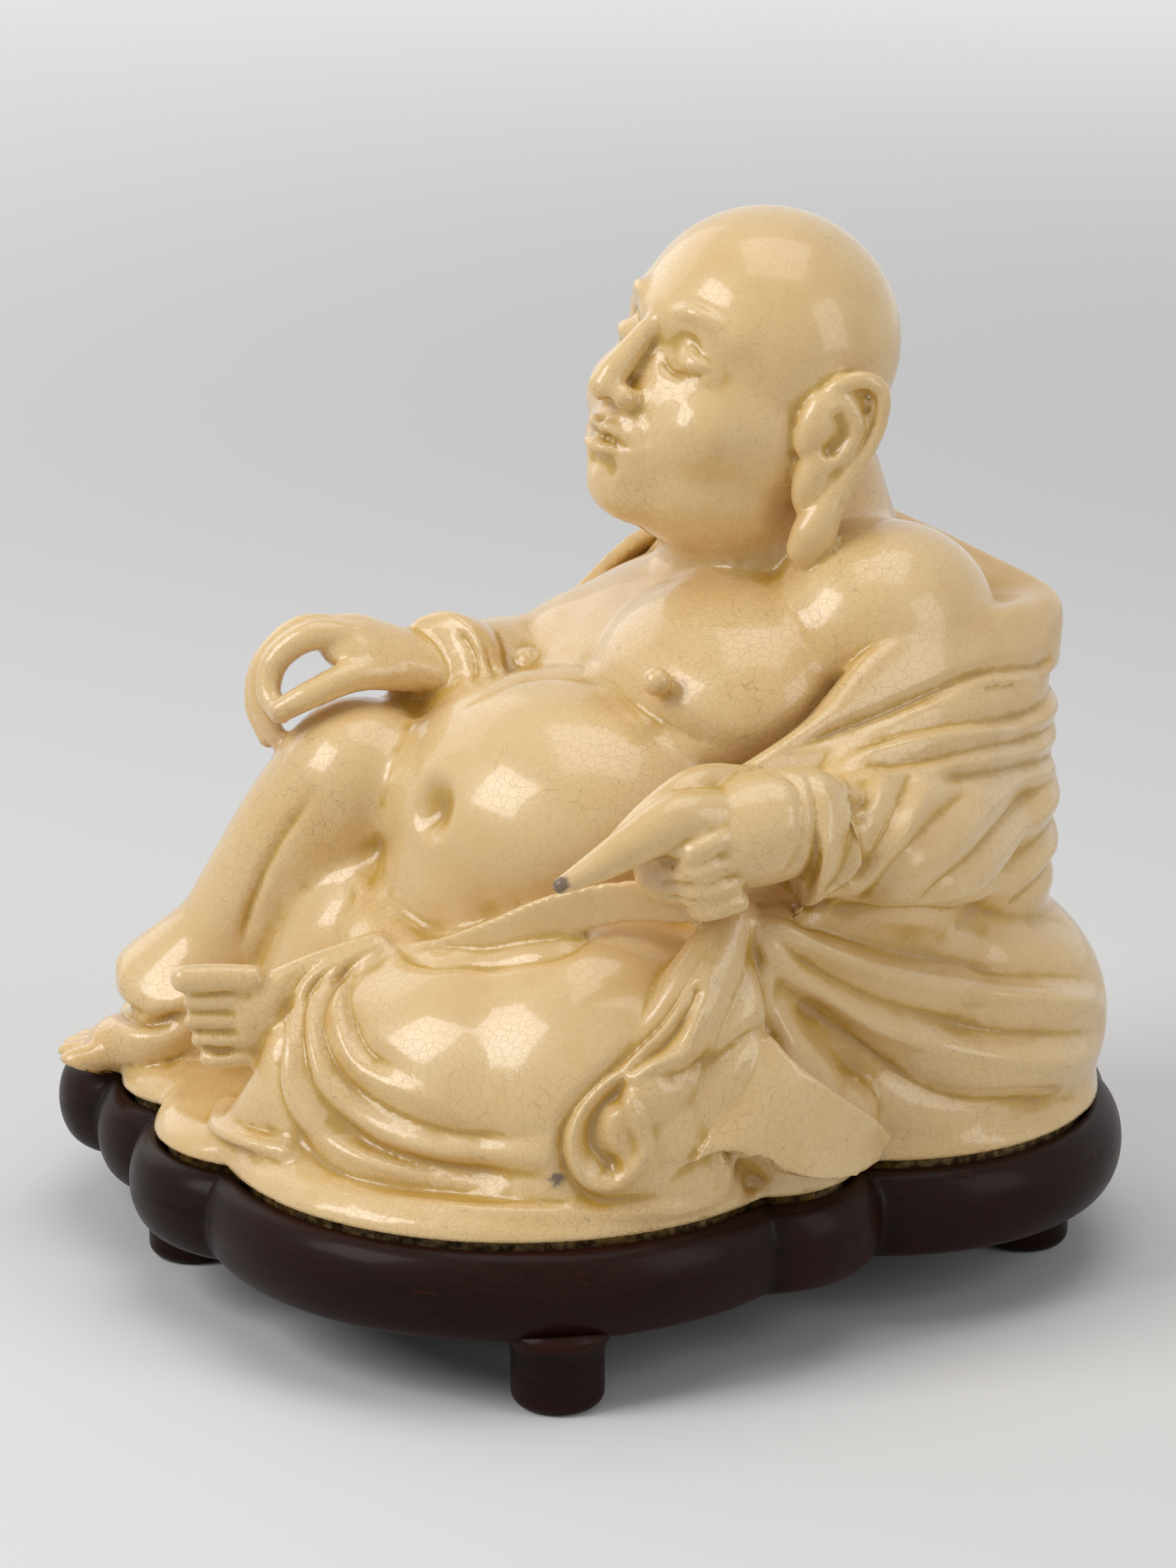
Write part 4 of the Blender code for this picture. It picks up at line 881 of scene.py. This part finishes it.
def crackleGroup():
    # Fine crazing of a glaze: a wide net of brown lines with a finer, fainter net inside it
    group = bpy.data.node_groups.new("crackleNet", "ShaderNodeTree")
    group.interface.new_socket("Cell Size", in_out="INPUT", socket_type="NodeSocketFloat")
    group.interface.new_socket("Lines", in_out="OUTPUT", socket_type="NodeSocketFloat")
    group.interface.new_socket("Fine Lines", in_out="OUTPUT", socket_type="NodeSocketFloat")
    given = group.nodes.new("NodeGroupInput")
    made = group.nodes.new("NodeGroupOutput")
    place = group.nodes.new("ShaderNodeTexCoord").outputs["Object"]
    wobble = node(group, "ShaderNodeTexNoise", crackle["wobble"])
    group.links.new(place, wobble.inputs["Vector"])
    shifted = node(group, "ShaderNodeVectorMath", operation="MULTIPLY_ADD")
    shifted.inputs[1].default_value = [crackle["shift"]] * 3
    group.links.new(wobble.outputs["Color"], shifted.inputs[0])
    group.links.new(place, shifted.inputs[2])
    frequency = maths(group, "DIVIDE", 1.0, given.outputs["Cell Size"])
    for fineness, width, name in crackle["nets"]:
        cells = node(group, "ShaderNodeTexVoronoi", {"Randomness": crackle["randomness"]},
                     feature="DISTANCE_TO_EDGE")
        group.links.new(maths(group, "MULTIPLY", frequency, fineness), cells.inputs["Scale"])
        group.links.new(shifted.outputs[0], cells.inputs["Vector"])
        thin = maths(group, "DIVIDE", cells.outputs["Distance"], width)
        line = maths(group, "SUBTRACT", 1.0, maths(group, "MINIMUM", thin, 1.0))
        group.links.new(line, made.inputs[name])
    return group


def attribute(tree, name):
    made = tree.nodes.new("ShaderNodeAttribute")
    made.attribute_name = name
    return made.outputs["Fac"]


porcelainLook = {
    "cream": (0.73, 0.465, 0.175),
    "pale": (0.79, 0.56, 0.26),
    "warm": (0.65, 0.37, 0.12),
    # golden and deep: glaze pooling and painted shade in creases and hollows
    "golden": (0.58, 0.35, 0.05),
    # dirt: dirt and painted shade on the hem over the rim
    "dirtAndShade": (0.10, 0.055, 0.03),
    "deep": (0.40, 0.20, 0.05),
    "worn": (0.60, 0.36, 0.20),
    "line": (0.40, 0.24, 0.11),
    "chip": (0.20, 0.14, 0.09),
    "cell": 0.0021,  # size of the crackle's cells in metres
    "warmShare": 0.35,
    "rubbedShare": 0.35,
    "wornShare": 0.7,
    "lineShare": 0.6,
    "fineLineShare": 0.3,
    "clouds": {"Scale": 18.0, "Detail": 4.0, "Roughness": 0.55},
    "mottle": {"Scale": 90.0, "Detail": 5.0, "Roughness": 0.6},
    "specks": {"Scale": 420.0, "Detail": 3.0, "Roughness": 0.7},
    "roughness": (0.2, 0.16, 0.2, 0.5),  # its base, and what mottle, wear and chips add
    "relief": (-0.6, -0.25, 0.5, 1.4),  # of the lines, the fine lines, the specks and the mottle
    "bump": {"Strength": 0.35, "Distance": 0.00012},
    "coat": 0.55,
    "coatRoughness": 0.09,
}


def porcelain():
    look = porcelainLook
    material = bpy.data.materials.new("crackledCreamGlaze")
    material.use_nodes = True
    tree = material.node_tree
    surface = tree.nodes["Principled BSDF"]
    place = tree.nodes.new("ShaderNodeTexCoord").outputs["Object"]
    cloud = node(tree, "ShaderNodeTexNoise", look["clouds"])
    mottle = node(tree, "ShaderNodeTexNoise", look["mottle"])
    speck = node(tree, "ShaderNodeTexNoise", look["specks"])
    for texture in (cloud, mottle, speck):
        tree.links.new(place, texture.inputs["Vector"])
    tone = ramp(tree, [(0.3, look["cream"]), (0.52, look["pale"]), (0.72, look["cream"])],
                cloud.outputs["Fac"])
    warmth = ramp(tree, [(0.48, (0, 0, 0)), (0.72, (1, 1, 1))], mottle.outputs["Fac"])
    warmShare = maths(tree, "MULTIPLY", warmth.outputs["Color"], look["warmShare"])
    colour = mixed(tree, warmShare, tone.outputs["Color"], look["warm"])
    # Glaze pooling and painted shade: golden in the creases and hollows, deep brown in the deepest
    poolAndShade = attribute(tree, "poolingAndShade")
    broken = maths(tree, "MULTIPLY_ADD", mottle.outputs["Fac"], 0.6, 0.7)
    pooledAndShaded = maths(tree, "MULTIPLY", poolAndShade, broken)
    goldenShare = ramp(tree, [(0.14, (0, 0, 0)), (0.62, (0.95, 0.95, 0.95))], pooledAndShaded)
    colour = mixed(tree, goldenShare.outputs["Color"], colour, look["golden"])
    deepShare = ramp(tree, [(0.74, (0, 0, 0)), (1.0, (0.45, 0.45, 0.45))], pooledAndShaded)
    colour = mixed(tree, deepShare.outputs["Color"], colour, look["deep"])
    rubbed = maths(tree, "MULTIPLY", attribute(tree, "ridge"), look["rubbedShare"])
    colour = mixed(tree, rubbed, colour, look["pale"])
    wearAndShadeSpecks = ramp(tree, [(0.35, (0.2, 0.2, 0.2)), (0.6, (1, 1, 1))], speck.outputs["Fac"])
    wornShare = maths(tree, "MULTIPLY", attribute(tree, "worn"), wearAndShadeSpecks.outputs["Color"])
    colour = mixed(tree, maths(tree, "MULTIPLY", wornShare, look["wornShare"]), colour, look["worn"])
    net = tree.nodes.new("ShaderNodeGroup")
    net.node_tree = bpy.data.node_groups["crackleNet"]
    net.inputs["Cell Size"].default_value = look["cell"]
    patches = ramp(tree, [(0.38, (0.12, 0.12, 0.12)), (0.62, (1, 1, 1))], cloud.outputs["Fac"])
    lineShare = maths(tree, "MULTIPLY", net.outputs["Lines"], patches.outputs["Color"])
    colour = mixed(tree, maths(tree, "MULTIPLY", lineShare, look["lineShare"]), colour, look["line"])
    fineShare = maths(tree, "MULTIPLY", net.outputs["Fine Lines"], warmth.outputs["Color"])
    colour = mixed(tree, maths(tree, "MULTIPLY", fineShare, look["fineLineShare"]), colour, look["line"])
    # Dirt and painted shade darken the hem just over the rim, broken up by specks
    dirtAndShadeShare = maths(tree, "MULTIPLY", attribute(tree, "dirtAndShade"), wearAndShadeSpecks.outputs["Color"])
    colour = mixed(tree, dirtAndShadeShare, colour, look["dirtAndShade"])
    chip = attribute(tree, "chipped")
    colour = mixed(tree, chip, colour, look["chip"])
    tree.links.new(colour, surface.inputs["Base Color"])
    smoothest, byMottle, byWear, byChips = look["roughness"]
    rough = maths(tree, "MULTIPLY_ADD", mottle.outputs["Fac"], byMottle, smoothest)
    rough = maths(tree, "MULTIPLY_ADD", wornShare, byWear, rough)
    rough = maths(tree, "MULTIPLY_ADD", chip, byChips, rough)
    tree.links.new(rough, surface.inputs["Roughness"])
    ofLines, ofFineLines, ofSpecks, ofMottle = look["relief"]
    height = maths(tree, "MULTIPLY", net.outputs["Lines"], ofLines)
    height = maths(tree, "MULTIPLY_ADD", net.outputs["Fine Lines"], ofFineLines, height)
    height = maths(tree, "MULTIPLY_ADD", speck.outputs["Fac"], ofSpecks, height)
    height = maths(tree, "MULTIPLY_ADD", mottle.outputs["Fac"], ofMottle, height)
    bump = node(tree, "ShaderNodeBump", look["bump"])
    tree.links.new(height, bump.inputs["Height"])
    tree.links.new(bump.outputs["Normal"], surface.inputs["Normal"])
    surface.inputs["Coat Weight"].default_value = look["coat"]
    surface.inputs["Coat Roughness"].default_value = look["coatRoughness"]
    return material


woodLook = {
    "dark": (0.006, 0.0025, 0.002),
    "brown": (0.014, 0.005, 0.0035),
    "red": (0.06, 0.012, 0.006),
    "grainStretch": (26.0, 150.0, 420.0),
    "grainTurn": 38,
    "grain": {"Scale": 1.0, "Detail": 6.0, "Roughness": 0.62, "Distortion": 0.4},
    "pores": {"Scale": 5.0, "Detail": 3.0, "Roughness": 0.7},
    "bands": {"Scale": 14.0, "Detail": 3.0},
    "ridgePasses": 12,
    "ridgeGain": 1800,
    "ridgeTint": (0.9, -0.3),  # gain and offset of the bands that the red on the ridges follows
    "roughness": (0.2, 0.22, 0.12),  # its base, and what grain and bands add
    "bump": {"Strength": 0.3, "Distance": 0.0001},
    "coat": 0.06,
    "coatRoughness": 0.14,
    "shine": 0.07,
}


def hardwood():
    look = woodLook
    material = bpy.data.materials.new("polishedDarkHardwood")
    material.use_nodes = True
    tree = material.node_tree
    surface = tree.nodes["Principled BSDF"]
    place = tree.nodes.new("ShaderNodeTexCoord").outputs["Object"]
    stretch = node(tree, "ShaderNodeMapping")
    stretch.inputs["Rotation"].default_value = (0, 0, math.radians(look["grainTurn"]))
    stretch.inputs["Scale"].default_value = look["grainStretch"]
    tree.links.new(place, stretch.inputs["Vector"])
    grain = node(tree, "ShaderNodeTexNoise", look["grain"])
    pores = node(tree, "ShaderNodeTexNoise", look["pores"])
    for texture in (grain, pores):
        tree.links.new(stretch.outputs["Vector"], texture.inputs["Vector"])
    band = node(tree, "ShaderNodeTexNoise", look["bands"])
    tree.links.new(place, band.inputs["Vector"])
    stops = [(0.3, look["dark"]), (0.5, look["brown"]), (0.64, look["dark"]), (0.78, look["red"])]
    tone = ramp(tree, stops, grain.outputs["Fac"])
    tint = maths(tree, "MULTIPLY_ADD", band.outputs["Fac"], *look["ridgeTint"])
    ridge = maths(tree, "MULTIPLY", attribute(tree, "ridge"), tint)
    colour = mixed(tree, ridge, tone.outputs["Color"], look["red"])
    tree.links.new(colour, surface.inputs["Base Color"])
    smoothest, byGrain, byBands = look["roughness"]
    rough = maths(tree, "MULTIPLY_ADD", grain.outputs["Fac"], byGrain, smoothest)
    rough = maths(tree, "MULTIPLY_ADD", band.outputs["Fac"], byBands, rough)
    tree.links.new(rough, surface.inputs["Roughness"])
    pore = ramp(tree, [(0.28, (0, 0, 0)), (0.4, (1, 1, 1))], pores.outputs["Fac"])
    height = maths(tree, "MULTIPLY_ADD", grain.outputs["Fac"], 0.6, pore.outputs["Color"])
    bump = node(tree, "ShaderNodeBump", look["bump"])
    tree.links.new(height, bump.inputs["Height"])
    tree.links.new(bump.outputs["Normal"], surface.inputs["Normal"])
    surface.inputs["Coat Weight"].default_value = look["coat"]
    surface.inputs["Coat Roughness"].default_value = look["coatRoughness"]
    surface.inputs["Specular IOR Level"].default_value = look["shine"]
    return material


studio = {
    "floorSize": 4.0,
    "floorColour": (0.80, 0.80, 0.80, 1),
    "floorRoughness": 0.85,
    "floorGlow": (0.6, 2.4, 0.0, 0.72),  # distance from and to, strength from and to
    "pale": (0.86, 0.86, 0.86, 1),
    "lamps": [
        # name, place, size across and up, watts: aimed at the figure's middle
        ("keyLamp", (-0.4, -1.1, 1.0), (0.7, 0.8), 10.5),
        ("sideLamp", (1.05, 0.25, 0.55), (0.5, 0.8), 2.6),
        ("fillLamp", (-1.3, 0.1, 0.8), (1.0, 1.0), 2.9),
        ("topLamp", (0.1, 0.1, 1.5), (1.0, 1.0), 6.2),
    ],
    "lampTarget": (0.0, 0.0, 0.11),
    "ambient": 0.24,
    "cameraTarget": (0.0140, -0.0067, 0.110),
    "azimuth": 45.0,
    "elevation": 17.0,
    "distance": 1.25,
    "lens": 130.0,
}


def seenDirectly(tree):
    # What the camera sees plainly, in a reflection or through glass, apart from what lights the scene
    path = node(tree, "ShaderNodeLightPath")
    seen = maths(tree, "MAXIMUM", path.outputs["Is Camera Ray"], path.outputs["Is Transmission Ray"])
    return maths(tree, "MAXIMUM", seen, path.outputs["Is Glossy Ray"])


def floorMaterial():
    material = bpy.data.materials.new("paleStudioFloor")
    material.use_nodes = True
    tree = material.node_tree
    surface = tree.nodes["Principled BSDF"]
    surface.inputs["Base Color"].default_value = studio["floorColour"]
    surface.inputs["Roughness"].default_value = studio["floorRoughness"]
    # Far from the object the floor glows a little, so that it stays as pale as the background
    place = tree.nodes.new("ShaderNodeTexCoord").outputs["Object"]
    away = node(tree, "ShaderNodeVectorMath", operation="LENGTH")
    tree.links.new(place, away.inputs[0])
    far = node(tree, "ShaderNodeMapRange", interpolation_type="SMOOTHSTEP")
    for name, value in zip(("From Min", "From Max", "To Min", "To Max"), studio["floorGlow"]):
        far.inputs[name].default_value = value
    tree.links.new(away.outputs["Value"], far.inputs["Value"])
    tree.links.new(maths(tree, "MULTIPLY", far.outputs[0], seenDirectly(tree)),
                   surface.inputs["Emission Strength"])
    surface.inputs["Emission Color"].default_value = studio["pale"]
    return material


def aimed(obj, target):
    obj.rotation_euler = (Vector(target) - obj.location).to_track_quat("-Z", "Y").to_euler()


def buildFloor():
    disc = bmesh.new()
    bmesh.ops.create_circle(disc, cap_ends=True, segments=96, radius=studio["floorSize"])
    floor = meshObject("studio_floor", disc)
    floor.data.materials.append(floorMaterial())


def buildLamps():
    for name, place, (wide, tall), power in studio["lamps"]:
        light = bpy.data.lights.new(name, "AREA")
        light.shape = "RECTANGLE"
        light.size, light.size_y, light.energy = wide, tall, power
        lamp = bpy.data.objects.new(name, light)
        lamp.location = place
        bpy.context.scene.collection.objects.link(lamp)
        aimed(lamp, studio["lampTarget"])


def buildWorld():
    world = bpy.data.worlds.new("studioLight")
    world.use_nodes = True
    bpy.context.scene.world = world
    tree = world.node_tree
    tree.nodes.clear()
    seen = node(tree, "ShaderNodeBackground")
    seen.inputs["Color"].default_value = studio["pale"]
    lit = node(tree, "ShaderNodeBackground")
    lit.inputs["Color"].default_value = (1, 1, 1, 1)
    lit.inputs["Strength"].default_value = studio["ambient"]
    either = node(tree, "ShaderNodeMixShader")
    tree.links.new(seenDirectly(tree), either.inputs[0])
    tree.links.new(lit.outputs[0], either.inputs[1])
    tree.links.new(seen.outputs[0], either.inputs[2])
    out = node(tree, "ShaderNodeOutputWorld")
    tree.links.new(either.outputs[0], out.inputs["Surface"])


def buildCamera():
    data = bpy.data.cameras.new("photoCamera")
    data.lens = studio["lens"]
    data.sensor_width = 36.0
    camera = bpy.data.objects.new("photoCamera", data)
    bpy.context.scene.collection.objects.link(camera)
    a, e = math.radians(studio["azimuth"]), math.radians(studio["elevation"])
    back = Vector((math.sin(a) * math.cos(e), -math.cos(a) * math.cos(e), math.sin(e)))
    camera.location = Vector(studio["cameraTarget"]) + back * studio["distance"]
    aimed(camera, studio["cameraTarget"])
    data.clip_start, data.clip_end = 0.05, 20.0
    bpy.context.scene.camera = camera


crackleGroup()
figure = buildFigure()
figure.data.materials.clear()
figure.data.materials.append(porcelain())
print("figure finished:", len(figure.data.polygons), "triangles")
stand = buildStand()
painted(stand.data, "ridge", -hollowness(stand.data, woodLook["ridgePasses"]) * woodLook["ridgeGain"])
stand.data.materials.clear()
stand.data.materials.append(hardwood())
print("stand finished:", len(stand.data.polygons), "faces")
for piece, cadNode, slot in ((figure, "figure", "glazed_porcelain"), (stand, "stand", "dark_hardwood")):
    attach(piece, "root")
    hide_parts(cadNode)
buildFloor()
buildLamps()
buildWorld()
buildCamera()
print("studio built")
bpy.context.scene.view_settings.view_transform = "Standard"
